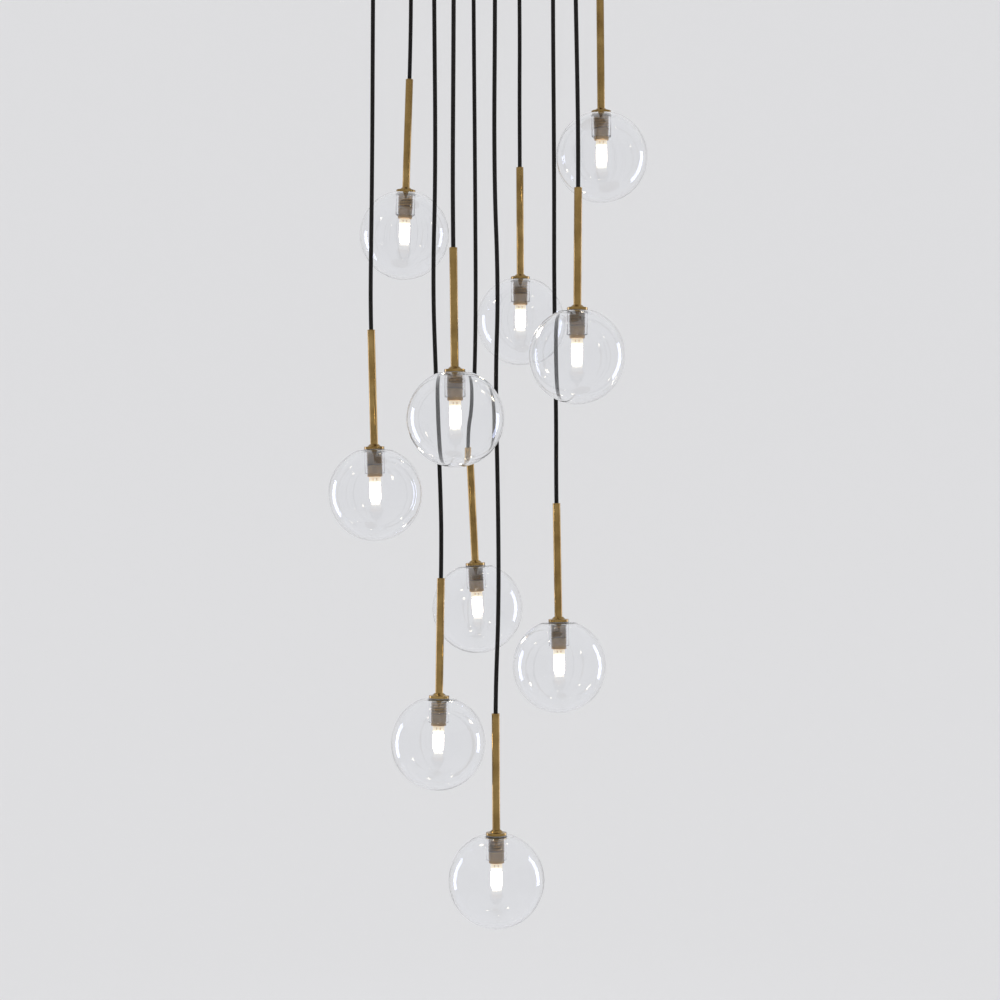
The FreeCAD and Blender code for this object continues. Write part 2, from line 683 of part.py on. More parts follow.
def canopy_dish():
    """Spun brass dish, open to the ceiling, with its cord holes and rim holes."""
    body = turned("dish_body", [
        ("0", "- canopy_height"),
        ("canopy_radius", "- canopy_height"),
        ("canopy_radius", "0"),
        ("canopy_radius - canopy_wall", "0"),
        ("canopy_radius - canopy_wall", CANOPY_FLOOR),
        ("0", CANOPY_FLOOR),
    ])
    outer, floor = size("canopy_radius"), -size("canopy_height")
    round_edges(body, "dish_corner", "canopy_round", [(outer, floor)])
    inner = outer - size("canopy_wall")
    round_edges(body, "dish_inner_corner", "canopy_round - canopy_wall",
                [(inner, floor + size("canopy_wall"))])
    places = [plan_place(pendant["ring"], f"azimuth_of_{number}")
              for number, pendant in PENDANTS.items()]
    drill_holes(body, "cord_holes", "grip_thread_radius + hole_clearance", places)
    rim_holes = []
    for name, turn in (("along", 0), ("across", 90)):
        hole = doc.addObject("Part::Cylinder", f"rim_holes_{name}")
        bind(hole, Radius="side_screw_radius + hole_clearance", Height="canopy_radius + canopy_radius")
        low = FreeCAD.Vector(-outer, 0, -size("side_screw_depth"))
        spin = FreeCAD.Rotation(FreeCAD.Vector(0, 0, 1), turn)
        lie = FreeCAD.Rotation(FreeCAD.Vector(0, 1, 0), 90)
        hole.Placement = FreeCAD.Placement(FreeCAD.Vector(0, 0, 0), spin).multiply(
            FreeCAD.Placement(low, lie))
        rim_holes.append(hole)
    return cut("drilled_dish", body, *rim_holes)


def ceiling_bracket():
    """Pressed steel disc with four arms, whose bent tabs take the side screws."""
    disc = rod("bracket_disc", "bracket_disc_radius", "bracket_thickness", "- bracket_thickness")
    plates = [disc]
    thickness = "bracket_thickness"
    for name, length, width in (("along", ARM_SPAN, "arm_width"),
                                ("across", "arm_width", ARM_SPAN)):
        plates.append(centred_box(f"arms_{name}", length, width, thickness,
                                  "- bracket_thickness"))
    tab_middle = f"({cells(ARM_REACH)}) - Sizes.bracket_thickness / 2"
    for name, length, width, across, back in (
            ("right", thickness, "tab_width", 1, 0), ("left", thickness, "tab_width", -1, 0),
            ("rear", "tab_width", thickness, 0, 1), ("front", "tab_width", thickness, 0, -1)):
        tab = centred_box(f"{name}_tab", length, width, "tab_drop", "- tab_drop")
        tab.setExpression("Placement.Base.x", f"{across} * ({tab_middle}) - Sizes.{length} / 2")
        tab.setExpression("Placement.Base.y", f"{back} * ({tab_middle}) - Sizes.{width} / 2")
        plates.append(tab)
    blank = doc.addObject("Part::MultiFuse", "bracket_blank")
    blank.Shapes = plates
    holes = [
        rod("supply_hole", "grommet_waist", thickness, "- bracket_thickness", "supply_across",
            "supply_back"),
        rod("supply_seat", "grommet_lip", "grommet_lip_thickness", "- grommet_lip_thickness",
            "supply_across", "supply_back"),
    ]
    for name, across, back in (("right", "ceiling_hole_ring", "0"), ("left", "- ceiling_hole_ring", "0"),
                               ("rear", "0", "ceiling_hole_ring"), ("front", "0", "- ceiling_hole_ring")):
        holes.append(rod(f"{name}_ceiling_hole", "ceiling_hole_radius", thickness,
                         "- bracket_thickness", across, back))
    for name, turn in (("along", 0), ("across", 90)):
        hole = doc.addObject("Part::Cylinder", f"tab_holes_{name}")
        bind(hole, Radius="side_screw_radius + fit_clearance", Height=ARM_SPAN)
        low = FreeCAD.Vector(-amount(ARM_REACH), 0, -size("side_screw_depth"))
        spin = FreeCAD.Rotation(FreeCAD.Vector(0, 0, 1), turn)
        lie = FreeCAD.Rotation(FreeCAD.Vector(0, 1, 0), 90)
        hole.Placement = FreeCAD.Placement(FreeCAD.Vector(0, 0, 0), spin).multiply(
            FreeCAD.Placement(low, lie))
        holes.append(hole)
    return cut("drilled_bracket", blank, *holes)


def side_screws():
    """Four knurled screws through the rim into the bracket's tabs."""
    screws = []
    for turn in (0, 90, 180, 270):
        head = side_rod(f"screw_head_{turn}", "side_head_radius", "side_head_length",
                        "canopy_radius + fit_clearance", "- side_screw_depth")
        shank = side_rod(f"screw_shank_{turn}", "side_screw_radius", "side_screw_length",
                         "canopy_radius + fit_clearance - side_screw_length", "- side_screw_depth")
        screw = doc.addObject("Part::Fuse", f"side_screw_{turn}")
        screw.Base, screw.Tool = head, shank
        spin = FreeCAD.Rotation(FreeCAD.Vector(0, 0, 1), turn)
        screws.append(placed(f"side_screw_at_{turn}", [screw],
                             FreeCAD.Placement(FreeCAD.Vector(0, 0, 0), spin)))
    return screws


def grip():
    """Brass cord grip: flange, nose with its bell mouth, and thread."""
    base = "- canopy_height - grip_flange_thickness"
    return turned("grip_blank", [
        ("cord_radius + swing_clearance", LEAD_START),
        ("cord_radius + swing_clearance", PIVOT),
        ("mouth_radius", MOUTH),
        ("grip_nose_radius", MOUTH),
        ("grip_nose_radius", base),
        ("grip_flange_radius", base),
        ("grip_flange_radius", "- canopy_height"),
        ("grip_thread_radius", "- canopy_height"),
        ("grip_thread_radius", "- canopy_height + grip_thread_length"),
        ("lead_radius + lead_clearance", "- canopy_height + grip_thread_length"),
        ("lead_radius + lead_clearance", LEAD_START),
    ])


def grips_and_nuts():
    """The ten cord grips with their clamping screws, and the ten nuts inside the canopy."""
    screw_height = f"{PIVOT} + grip_screw_height"
    screw_start = "cord_radius + swing_clearance"
    body = cut("grip_body", grip(),
               side_rod("grip_screw_hole", "grip_screw_radius", "grip_nose_radius", "0",
                        screw_height))
    screw = side_rod("grip_screw", "grip_screw_radius - fit_clearance",
                     "grip_nose_radius - cord_radius - swing_clearance", screw_start, screw_height)
    blank = doc.addObject("Part::Prism", "grip_nut_blank")
    bind(blank, Circumradius="grip_nut_circumradius", Height="grip_nut_thickness",
         Placement__Base__z=CANOPY_FLOOR)
    nut = cut("grip_nut", blank, rod("grip_nut_bore", "grip_thread_radius + fit_clearance",
                                     "grip_nut_thickness", CANOPY_FLOOR))
    grips, nuts = [], []
    for number in PENDANTS:
        across, back = hole_place(number)
        turn = FreeCAD.Rotation(FreeCAD.Vector(0, 0, 1), size(f"azimuth_of_{number}"))
        place = FreeCAD.Placement(FreeCAD.Vector(across, back, 0), turn)
        grips.append(placed(f"grip_at_{number}", [body, screw], place))
        nuts.append(placed(f"grip_nut_at_{number}", [nut], place))
    return grips, nuts


def terminal_block():
    """Terminal block under the bracket, and the clamp screws flush in its underside."""
    top = "- bracket_thickness"
    block = centred_box("block_blank", "block_length", "block_width", "block_height",
                        f"{top} - block_height")
    wells, screws = [], []
    for side, ports in ((-1, FRONT_PORTS), (1, BACK_PORTS)):
        for number, (step, _) in ports.items():
            well = rod(f"clamp_well_{number}", "clamp_radius", "clamp_thickness",
                       f"{top} - block_height")
            clamp = rod(f"clamp_{number}", "clamp_radius - fit_clearance", "clamp_thickness",
                        f"{top} - block_height")
            for piece in (well, clamp):
                piece.setExpression("Placement.Base.x", f"{step} * Sizes.port_pitch")
                piece.setExpression("Placement.Base.y",
                                    f"{side} * (Sizes.block_width / 2 - Sizes.clamp_inset)")
            wells.append(well)
            screws.append(clamp)
    return cut("bored_block", block, *wells), screws


def inner_leads():
    """The sheathed lead of each pendant, from its grip to its port in the terminal block."""
    level = -size("lead_level")
    leads = []
    for side, ports in ((-1, FRONT_PORTS), (1, BACK_PORTS)):
        for number, (step, stand_off) in ports.items():
            across, back = hole_place(number)
            port = step * size("port_pitch")
            face = side * size("block_width") / 2
            points = [
                FreeCAD.Vector(across, back, amount(LEAD_START)),
                FreeCAD.Vector(across, back, level),
                FreeCAD.Vector(port, face + side * stand_off, level),
                FreeCAD.Vector(port, face, level),
            ]
            leads.append(shaped(f"lead_{number}", tube_along(points, size("lead_radius"))))
    return leads


def earth_lead():
    """Earth wire from the block's end to a ring tag on the canopy's floor, under a stud head."""
    end = size("block_length") / 2
    across, back = size("tag_across"), size("tag_back")
    level = -size("lead_level")
    wire_end = amount(f"{CANOPY_FLOOR} + tag_thickness + earth_radius")
    tag_edge = size("tag_radius") - across
    points = [
        FreeCAD.Vector(-end, 0, level),
        FreeCAD.Vector(-end - size("earth_exit_run"), 0, level),
        FreeCAD.Vector(size("earth_bend_reach") - across, size("earth_bend_back"),
                       wire_end + size("earth_bend_height")),
        FreeCAD.Vector(tag_edge + size("earth_entry_run"), back - size("earth_entry_back"),
                       wire_end + size("earth_entry_height")),
        FreeCAD.Vector(tag_edge, back, wire_end),
    ]
    wire = shaped("earth_wire", tube_along(points, size("earth_radius")))
    tag = rod("earth_tag", "tag_radius", "tag_thickness", CANOPY_FLOOR, "- tag_across", "tag_back")
    head = rod("earth_stud_head", "stud_head_radius", "stud_head_height",
               f"{CANOPY_FLOOR} + tag_thickness", "- tag_across", "tag_back")
    return [wire, tag, head]


def supply_grommet():
    """Rubber grommet in the bracket's supply hole."""
    bottom = "- bracket_thickness - grommet_lip_thickness"
    ring = turned("grommet_ring", [
        ("supply_bore", bottom),
        ("grommet_lip", bottom),
        ("grommet_lip", "- bracket_thickness"),
        ("grommet_waist - fit_clearance", "- bracket_thickness"),
        ("grommet_waist - fit_clearance", "- grommet_lip_thickness"),
        ("grommet_lip - fit_clearance", "- grommet_lip_thickness"),
        ("grommet_lip - fit_clearance", "0"),
        ("supply_bore", "0"),
    ])
    return placed("supply_grommet", [ring], FreeCAD.Placement(
        FreeCAD.Vector(size("supply_across"), size("supply_back"), 0), FreeCAD.Rotation()))


def export(nodes):
    """Check every object of the document, then write each sub-part to its own file."""
    doc.recompute()
    for item in doc.Objects:
        if "Invalid" in item.State or "Error" in item.State:
            raise ValueError(f"{item.Label} failed: {item.State}")
    for node in nodes:
        if node.Shape.isNull() or not node.Shape.isValid() or not node.Shape.Solids:
            raise ValueError(f"{node.Label} has no valid solid")
    os.makedirs("parts", exist_ok=True)
    for node in nodes:
        node.Shape.exportStep(f"parts/{node.Label}.step")
    print(len(nodes), "sub-parts,", sum(len(node.Shape.Solids) for node in nodes), "solids")


grip_set, nut_set = grips_and_nuts()
block, clamps = terminal_block()
nodes = [
    placed("canopy_dish", [canopy_dish()]),
    placed("ceiling_bracket", [ceiling_bracket()]),
    placed("side_screws", side_screws()),
    placed("cord_grips", grip_set),
    placed("grip_nuts", nut_set),
    placed("terminal_block", [block]),
    placed("clamp_screws", clamps),
    placed("inner_leads", inner_leads()),
    placed("earth_lead", earth_lead()),
    supply_grommet(),
]
pieces = {"stem": stem(), "holder": holder(), "bulb": bulb(), "globe": [globe()]}
for number in PENDANTS:
    nodes.append(shaped(f"cord_{number}", cord_shape(number)))
    for kind, members in pieces.items():
        nodes.append(placed(f"{kind}_{number}", members, pendant_place(number)))
export(nodes)
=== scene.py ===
import bpy
import numpy as np
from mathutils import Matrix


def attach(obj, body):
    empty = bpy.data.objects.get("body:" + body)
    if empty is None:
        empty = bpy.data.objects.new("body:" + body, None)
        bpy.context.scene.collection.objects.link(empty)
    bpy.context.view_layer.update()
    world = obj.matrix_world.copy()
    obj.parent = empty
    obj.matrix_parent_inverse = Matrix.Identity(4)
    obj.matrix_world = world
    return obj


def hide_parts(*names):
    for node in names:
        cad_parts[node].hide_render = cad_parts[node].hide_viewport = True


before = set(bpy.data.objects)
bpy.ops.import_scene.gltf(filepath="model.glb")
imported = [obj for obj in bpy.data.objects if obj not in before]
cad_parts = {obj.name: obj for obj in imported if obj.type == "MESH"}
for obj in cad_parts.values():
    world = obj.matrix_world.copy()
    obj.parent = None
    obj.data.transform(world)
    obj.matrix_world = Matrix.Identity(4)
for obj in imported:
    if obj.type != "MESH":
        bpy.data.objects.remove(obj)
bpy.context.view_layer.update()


# ---------------------------------------------------------------------------------------------
# Camera. It stands 2.7 m in front of the cluster, level with the middle of the drops, and its
# long lens keeps the ten stems parallel. The ceiling and the canopy are above the picture.
# ---------------------------------------------------------------------------------------------
CAMERA_PLACE = (0.0154, -2.700, -0.975)
camera = bpy.data.objects.new("camera", bpy.data.cameras.new("camera"))
camera.location = CAMERA_PLACE
camera.rotation_euler = (np.pi / 2, 0, 0)
camera.data.sensor_width = 36.0
camera.data.lens = 75.06
camera.data.dof.use_dof = False
bpy.context.scene.collection.objects.link(camera)
bpy.context.scene.camera = camera


# ---------------------------------------------------------------------------------------------
# Cords. Each is a round two-core cable in a braided black textile sleeve, 5.4 mm thick. It is
# clamped in a grip under the canopy and hangs, with the slight waves it kept from its packing,
# down into the bush on top of its stem.
# ---------------------------------------------------------------------------------------------
CORD_RADIUS = 0.0027
PIVOT = -0.036
CORD_END, CORD_ENTRY = 0.2015, 0.2357
GRIP_RUN = 0.045
OUTER_RING, INNER_RING = 0.150, 0.085

# ring, azimuth of the hole, drop of the globe's centre, how far it hangs beside the hole, lean
PENDANTS = {
    1: (OUTER_RING, 194.5, 0.9673, 0.0016, 1.51),
    2: (OUTER_RING, 134.5, 0.6182, -0.0081, -1.85),
    3: (INNER_RING, 216.3, 1.2838, 0.0055, -0.93),
    4: (OUTER_RING, 254.5, 0.8751, 0.0007, 0.68),
    5: (INNER_RING, 103.6, 1.1191, 0.0054, 2.88),
    6: (INNER_RING, 276.1, 1.4523, 0.0020, 0.30),
    7: (OUTER_RING, 74.5, 0.7308, 0.0033, 0.26),
    8: (INNER_RING, 348.9, 1.1887, 0.0083, 0.99),
    9: (OUTER_RING, 314.5, 0.7959, 0.0061, -0.36),
    10: (OUTER_RING, 14.5, 0.5246, 0.0035, 0.53),
}

# where each cord wanders on its way down: beside its hole, below the ceiling
CORD_BENDS = {
    1: [(-0.0004, 0.190), (-0.0016, 0.336), (-0.0026, 0.554), (-0.0044, 0.680)],
    2: [(0.0005, 0.180), (0.0009, 0.300)],
    3: [(-0.0006, 0.190), (0.0002, 0.340), (0.0022, 0.556), (-0.0016, 0.697), (0.0023, 0.815),
        (0.0092, 0.985)],
    4: [(-0.0009, 0.190), (-0.0014, 0.400), (-0.0025, 0.570)],
    5: [(-0.0005, 0.170), (0.0002, 0.330), (0.0023, 0.560), (0.0032, 0.740), (0.0002, 0.850)],
    6: [(-0.0005, 0.190), (0.0003, 0.348), (-0.0014, 0.561), (0.0044, 0.712), (0.0005, 0.826),
        (0.0040, 0.975), (0.0049, 1.110)],
    7: [(0.0006, 0.170), (0.0023, 0.330), (0.0019, 0.430)],
    8: [(0.0004, 0.190), (0.0000, 0.331), (0.0018, 0.560), (0.0016, 0.705), (0.0043, 0.860)],
    9: [(0.0015, 0.180), (0.0042, 0.340), (0.0070, 0.480)],
    10: [(0.0003, 0.130), (0.0015, 0.210)],
}


def hole(number):
    """Middle of a pendant's hole in the canopy: x = R cos a, y = R sin a."""
    ring, azimuth = PENDANTS[number][:2]
    return ring * np.cos(np.radians(azimuth)), ring * np.sin(np.radians(azimuth))


def on_pendant(points, number):
    """Moves points from a pendant's own frame, with the globe's centre at zero, to its place.

    With lean a the sideways axis is (cos a, 0, sin a) and the upward one (-sin a, 0, cos a).
    """
    across, back = hole(number)
    drop, beside, lean = PENDANTS[number][2:]
    sine, cosine = np.sin(np.radians(lean)), np.cos(np.radians(lean))
    axes = np.array([(cosine, 0, sine), (0, 1, 0), (-sine, 0, cosine)])
    return np.asarray(points) @ axes + (across + beside, back, -drop)


def cord_route(number):
    """Control points of a cord, from its grip through its bends to its end in the bush."""
    across, back = hole(number)
    hanging = [(0, -PIVOT), (0, GRIP_RUN - PIVOT), *CORD_BENDS[number]]
    beside, below = np.array(hanging).T
    upper = np.stack([across + beside, np.full_like(beside, back), -below], axis=1)
    lower = on_pendant([(0, 0, CORD_ENTRY), (0, 0, CORD_END)], number)
    return np.concatenate([upper, lower])


def cord_line(route):
    """Points along the smooth third-order NURBS curve that the route controls."""
    curve = bpy.data.curves.new("cord_line", "CURVE")
    curve.dimensions = "3D"
    curve.resolution_u = 14
    spline = curve.splines.new("NURBS")
    spline.points.add(len(route) - 1)
    spline.points.foreach_set("co", np.c_[route, np.ones(len(route))].ravel())
    spline.order_u = 3
    spline.use_endpoint_u = True
    carrier = bpy.data.objects.new("cord_line", curve)
    traced = bpy.data.meshes.new_from_object(carrier)
    line = np.empty(3 * len(traced.vertices))
    traced.vertices.foreach_get("co", line)
    bpy.data.meshes.remove(traced)
    bpy.data.objects.remove(carrier)
    bpy.data.curves.remove(curve)
    return line.reshape(-1, 3)


def swept(line, radius, around):
    """A round tube along a line that stays in a plane of constant y, closed at both ends.

    P(s, u) = C(s) + r (cos u Y + sin u N(s)), where Y is the y axis and N = Y x T is square to
    it and to the line's direction T.
    """
    direction = np.gradient(line, axis=0)
    direction /= np.linalg.norm(direction, axis=1, keepdims=True)
    back = np.array([0.0, 1.0, 0.0])
    normal = np.cross(back, direction)
    u = np.linspace(0, 2 * np.pi, around + 1)[None, :, None]
    tube = line[:, None] + radius * (np.cos(u) * back + np.sin(u) * normal[:, None])
    tube[:, -1] = tube[:, 0]
    ends = [np.repeat(line[end][None, None], around + 1, axis=1) for end in (0, -1)]
    return np.concatenate([ends[0], tube, ends[1]])


def skin(name, patches, finish, crease=35):
    """Makes one mesh out of grids of points, each rows x columns x 3.

    Points of a grid that meet, at a seam or a pole, become one vertex, and a quad that loses a
    side by it becomes a triangle. The sum of a . (b x c) over a grid's faces is six times the
    room inside; where it comes out negative the faces are turned round, so that they all look
    outwards. The UV map holds the share of the way round, and the metres run along the rows.
    """
    points, quads, maps, start = [], [], [], 0
    for tag, patch in enumerate(patches):
        rows, columns = patch.shape[:2]
        index = np.arange(rows * columns).reshape(rows, columns)
        faces = np.stack([index[:-1, :-1], index[:-1, 1:], index[1:, 1:], index[1:, :-1]], axis=-1)
        faces = faces.reshape(-1, 4)
        flat = patch.reshape(-1, 3)
        a, b, c, d = (flat[faces[:, k]] for k in range(4))
        if np.sum(a * np.cross(b, c)) + np.sum(a * np.cross(c, d)) < 0:
            faces = faces[:, ::-1]
        steps = np.linalg.norm(np.diff(patch, axis=0), axis=2).mean(axis=1)
        run = np.concatenate([[0], np.cumsum(steps)])
        around = np.broadcast_to(np.linspace(0, 1, columns), (rows, columns))
        along = np.broadcast_to(run[:, None], (rows, columns))
        points.append(np.c_[flat, np.full(len(flat), tag)])
        quads.append(faces + start)
        maps.append(np.stack([around, along], axis=-1).reshape(-1, 2))
        start += rows * columns
    points, quads, maps = (np.concatenate(part) for part in (points, quads, maps))
    _, first, merged = np.unique(np.round(points, 8), axis=0, return_index=True,
                                 return_inverse=True)
    corners = merged.reshape(-1)[quads]
    kept = corners != np.roll(corners, -1, axis=1)
    sides = kept.sum(axis=1)
    kept &= (sides > 2)[:, None]
    sides = sides[sides > 2]
    mesh = bpy.data.meshes.new(name)
    mesh.vertices.add(len(first))
    mesh.vertices.foreach_set("co", points[first, :3].ravel())
    mesh.loops.add(int(sides.sum()))
    mesh.loops.foreach_set("vertex_index", corners[kept].astype(np.int32))
    mesh.polygons.add(len(sides))
    mesh.polygons.foreach_set("loop_start", (np.cumsum(sides) - sides).astype(np.int32))
    mesh.uv_layers.new(name="surface").data.foreach_set("uv", maps[quads][kept].ravel())
    mesh.update(calc_edges=True)
    mesh.validate()
    mesh.shade_smooth()
    mesh.set_sharp_from_angle(angle=np.radians(crease))
    mesh.materials.append(finish)
    return mesh


def show(name, mesh, body, slot, *nodes):
    """Puts a finished mesh into the scene on its body, in place of the nodes it stands for."""
    piece = bpy.data.objects.new(name, mesh)
    bpy.context.scene.collection.objects.link(piece)
    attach(piece, body)
    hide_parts(*nodes)
    return piece


def new_finish(name, **constants):
    """A material whose one shader gets its constant values on its own sockets."""
    finish = bpy.data.materials.new(name)
    finish.use_nodes = True
    shader = finish.node_tree.nodes["Principled BSDF"]
    for socket, value in constants.items():
        shader.inputs[socket.replace("_", " ")].default_value = value
    return finish, shader


def add(finish, kind, settings=None, **inputs):
    """Adds a node of a kind; an input is either a value or the output that feeds it."""
    node = finish.node_tree.nodes.new("ShaderNode" + kind)
    for setting, value in (settings or {}).items():
        setattr(node, setting, value)
    for socket, value in inputs.items():
        place = int(socket[1:]) if socket[1:].isdigit() else socket.replace("_", " ")
        if isinstance(value, bpy.types.NodeSocket):
            finish.node_tree.links.new(value, node.inputs[place])
        else:
            node.inputs[place].default_value = value
    return node


def reckon(finish, operation, *terms):
    """The output of one Math node: an operation on one, two or three terms."""
    inputs = {f"n{k}": term for k, term in enumerate(terms)}
    return add(finish, "Math", {"operation": operation}, **inputs).outputs[0]


def shade(finish, factor, *stops):
    """A colour ramp: stops are (place, colour) from dark to light."""
    ramp = add(finish, "ValToRGB", n0=factor)
    band = ramp.color_ramp
    for stop in range(2, len(stops)):
        band.elements.new(stops[stop][0])
    for element, (place, colour) in zip(band.elements, stops):
        element.position, element.color = place, (*colour, 1)
    return ramp.outputs[0]


def feed(finish, output, shader, socket):
    finish.node_tree.links.new(output, shader.inputs[socket])


def bump(finish, shader, height, depth, strength=1.0):
    """Raises the surface by the height output, which runs from 0 to 1, times the depth in m."""
    relief = add(finish, "Bump", Strength=strength, Distance=depth, Height=height)
    feed(finish, relief.outputs[0], shader, "Normal")


def braided_textile():
    """Black textile braid: two sets of eight strands that wind left and right and cross.

    With p = 8(u + v/c) and q = 8(u - v/c), c the cord's girth, a strand is |sin pi p| or
    |sin pi q| high, and the squares of the checker (p, q) say which of the two is on top.
    """
    strands = 8.0
    girth = 2 * np.pi * CORD_RADIUS
    finish, shader = new_finish("braided_textile", Roughness=0.78, Sheen_Weight=0.05,
                                Sheen_Roughness=0.45, Specular_IOR_Level=0.15)
    surface = add(finish, "UVMap", {"uv_map": "surface"}).outputs[0]
    place = add(finish, "SeparateXYZ", Vector=surface)
    along = reckon(finish, "MULTIPLY", place.outputs[1], strands / girth)
    right = reckon(finish, "MULTIPLY_ADD", place.outputs[0], strands, along)
    left = reckon(finish, "MULTIPLY_ADD", place.outputs[0], strands,
                  reckon(finish, "MULTIPLY", along, -1.0))
    heights = [reckon(finish, "ABSOLUTE", reckon(finish, "SINE",
               reckon(finish, "MULTIPLY", turn, np.pi))) for turn in (right, left)]
    cross = add(finish, "CombineXYZ", X=right, Y=left)
    over = add(finish, "TexChecker", Vector=cross.outputs[0], Scale=1.0).outputs[1]
    lift = add(finish, "Mix", Factor=over)
    finish.node_tree.links.new(heights[0], lift.inputs[2])
    finish.node_tree.links.new(heights[1], lift.inputs[3])
    fuzz = add(finish, "TexNoise", Vector=add(finish, "TexCoord").outputs["Object"],
               Scale=900.0, Detail=3.0).outputs[0]
    # Strand height sets both the bump and the tone: darker down between the strands, which is
    # painted shade, with random fuzz in the tone.
    relief_and_painted_shade = reckon(finish, "MULTIPLY", lift.outputs[0], reckon(finish, "ADD", fuzz, 0.35))
    feed(finish, shade(finish, relief_and_painted_shade, (0.0, (0.002, 0.002, 0.002)), (0.55, (0.010, 0.009, 0.008)),
                       (1.0, (0.042, 0.038, 0.034))), shader, "Base Color")
    bump(finish, shader, relief_and_painted_shade, 0.0005, 0.8)
    return finish


cord_finish = braided_textile()
for number in PENDANTS:
    line = cord_line(cord_route(number))
    mesh = skin(f"braided_cord_{number}", [swept(line, CORD_RADIUS, 16)], cord_finish, 60)
    cord = show(f"braided_cord_{number}", mesh, f"pendant_{number}", "braided_textile",
                f"cord_{number}")


# ---------------------------------------------------------------------------------------------
# Stems. A 150 mm tube of polished brass, 10 mm thick, stands on each globe. A turned bush with
# a thin lip closes its top round the cord and is held by a small steel grub screw from the
# side. A threaded nipple joins it to the lampholder below, and two cores run down inside.
# ---------------------------------------------------------------------------------------------
TUBE_RADIUS, TUBE_BORE = 0.005, 0.004
TUBE_FOOT, TUBE_TOP = 0.0585, 0.2085
BUSH_BORE, BUSH_FOOT, BUSH_TOP = 0.0028, 0.2005, 0.2097
GRUB_RADIUS, GRUB_HEIGHT = 0.00145, 0.2045
NIPPLE_RADIUS, NIPPLE_BORE, NIPPLE_FOOT, NIPPLE_TOP = 0.00395, 0.0026, 0.046, 0.062
SOCKET_RADIUS, SOCKET_FLOOR = 0.0008, 0.0036
CORE_RADIUS, CORE_OFFSET = 0.0009, 0.0011
SLIP_FIT = 0.00005


def eased(corners, ease, steps=4, ring=True):
    """An outline of (radius, height) corners with each corner eased.

    A corner P makes way for the arc (1-t)^2 A + 2t(1-t) P + t^2 B, whose ends A and B lie on
    its two sides, one easing away and never past 0.45 of the side. A ring's outline is closed.
    """
    corner = np.array(corners, float)
    reach = np.broadcast_to(np.asarray(ease, float), len(corner))[:, None]
    t = np.linspace(0, 1, steps)[None, :, None]
    ends = []
    for shift in (1, -1):
        side = np.roll(corner, shift, axis=0) - corner
        length = np.linalg.norm(side, axis=1, keepdims=True)
        ends.append(corner + side * np.minimum(reach, 0.45 * length) / np.maximum(length, 1e-9))
    middle = corner[:, None]
    arcs = (1 - t) ** 2 * ends[0][:, None] + 2 * t * (1 - t) * middle + t**2 * ends[1][:, None]
    outline = arcs.reshape(-1, 2)
    outline = outline[np.r_[True, np.any(np.diff(outline, axis=0) != 0, axis=1)]]
    return np.concatenate([outline, outline[:1]]) if ring else outline


def turned(outline, around=48):
    """Turns an outline of (radius r, height h) about the axis: x = r cos u, y = r sin u, z = h."""
    u = np.linspace(0, 2 * np.pi, around + 1)
    radius, height = outline[:, :1], outline[:, 1:]
    grid = np.stack(np.broadcast_arrays(radius * np.cos(u), radius * np.sin(u), height), axis=-1)
    grid[:, -1] = grid[:, 0]
    return grid


def round_bar(radius, low, high, ease, around=24, at=(0.0, 0.0)):
    """A turned rod with eased ends: the outline runs from the axis out, up and back to it."""
    outline = eased([(0, low), (radius, low), (radius, high), (0, high)], (0, ease, ease, 0),
                    ring=False)
    return turned(outline, around) + (*at, 0.0)


def brass(name, lines, tones, polish, painted_groove_shade=0.0):
    """Brass, turned on a lathe, with a little tarnish in three tones from dark to light.

    The lathe lines run round the piece: they are noise read at v times 9000, which is a line
    every ninth of a millimetre. `lines` is the output that holds that length v in metres.
    `polish` is the least roughness, which tarnish and handling raise in places. The last argument
    is painted shade in the cuts, with some tarnish: how far the tone sinks at the bottom of a cut,
    where the mesh's `cut` attribute is one.
    """
    finish, shader = new_finish(name, Metallic=1.0)
    place = add(finish, "TexCoord").outputs["Object"]
    cloud = add(finish, "TexNoise", Vector=place, Scale=38.0, Detail=4.0).outputs[0]
    speck = add(finish, "TexNoise", Vector=place, Scale=420.0, Detail=2.0).outputs[0]
    cut = add(finish, "Attribute", {"attribute_name": "cut"}).outputs["Fac"]
    # The bottom of a cut is darkened: painted shade, with some tarnish.
    tone = reckon(finish, "MULTIPLY_ADD", cut, -painted_groove_shade, cloud)
    feed(finish, shade(finish, tone, *zip((0.30, 0.55, 0.75), tones)), shader, "Base Color")
    rough = reckon(finish, "MULTIPLY_ADD", cloud, 0.05, polish)
    rough = reckon(finish, "MULTIPLY_ADD", speck, 0.03, rough)
    feed(finish, rough, shader, "Roughness")
    along = lines(finish, place)
    grain = add(finish, "TexNoise", {"noise_dimensions": "1D"},
                W=reckon(finish, "MULTIPLY", along, 9000.0), Detail=2.0).outputs[0]
    bump(finish, shader, grain, 0.000002, 0.25)
    return finish


def up_the_surface(finish, place=None):
    """Length along the rows of the piece's UV map, for which the place isn't needed."""
    surface = add(finish, "UVMap", {"uv_map": "surface"}).outputs[0]
    return add(finish, "SeparateXYZ", Vector=surface).outputs[1]


def zinc_steel():
    """Zinc-plated steel: bright grey, with the small crystals of the plating."""
    finish, shader = new_finish("zinc_steel", Metallic=1.0)
    place = add(finish, "TexCoord").outputs["Object"]
    crystals = add(finish, "TexVoronoi", Vector=place, Scale=260.0)
    tone = add(finish, "SeparateColor", Color=crystals.outputs["Color"]).outputs[0]
    feed(finish, shade(finish, tone, (0.0, (0.48, 0.49, 0.50)), (1.0, (0.66, 0.66, 0.65))),
         shader, "Base Color")
    feed(finish, reckon(finish, "MULTIPLY_ADD", tone, 0.18, 0.26), shader, "Roughness")
    bump(finish, shader, crystals.outputs["Distance"], 0.00003, 0.3)
    return finish


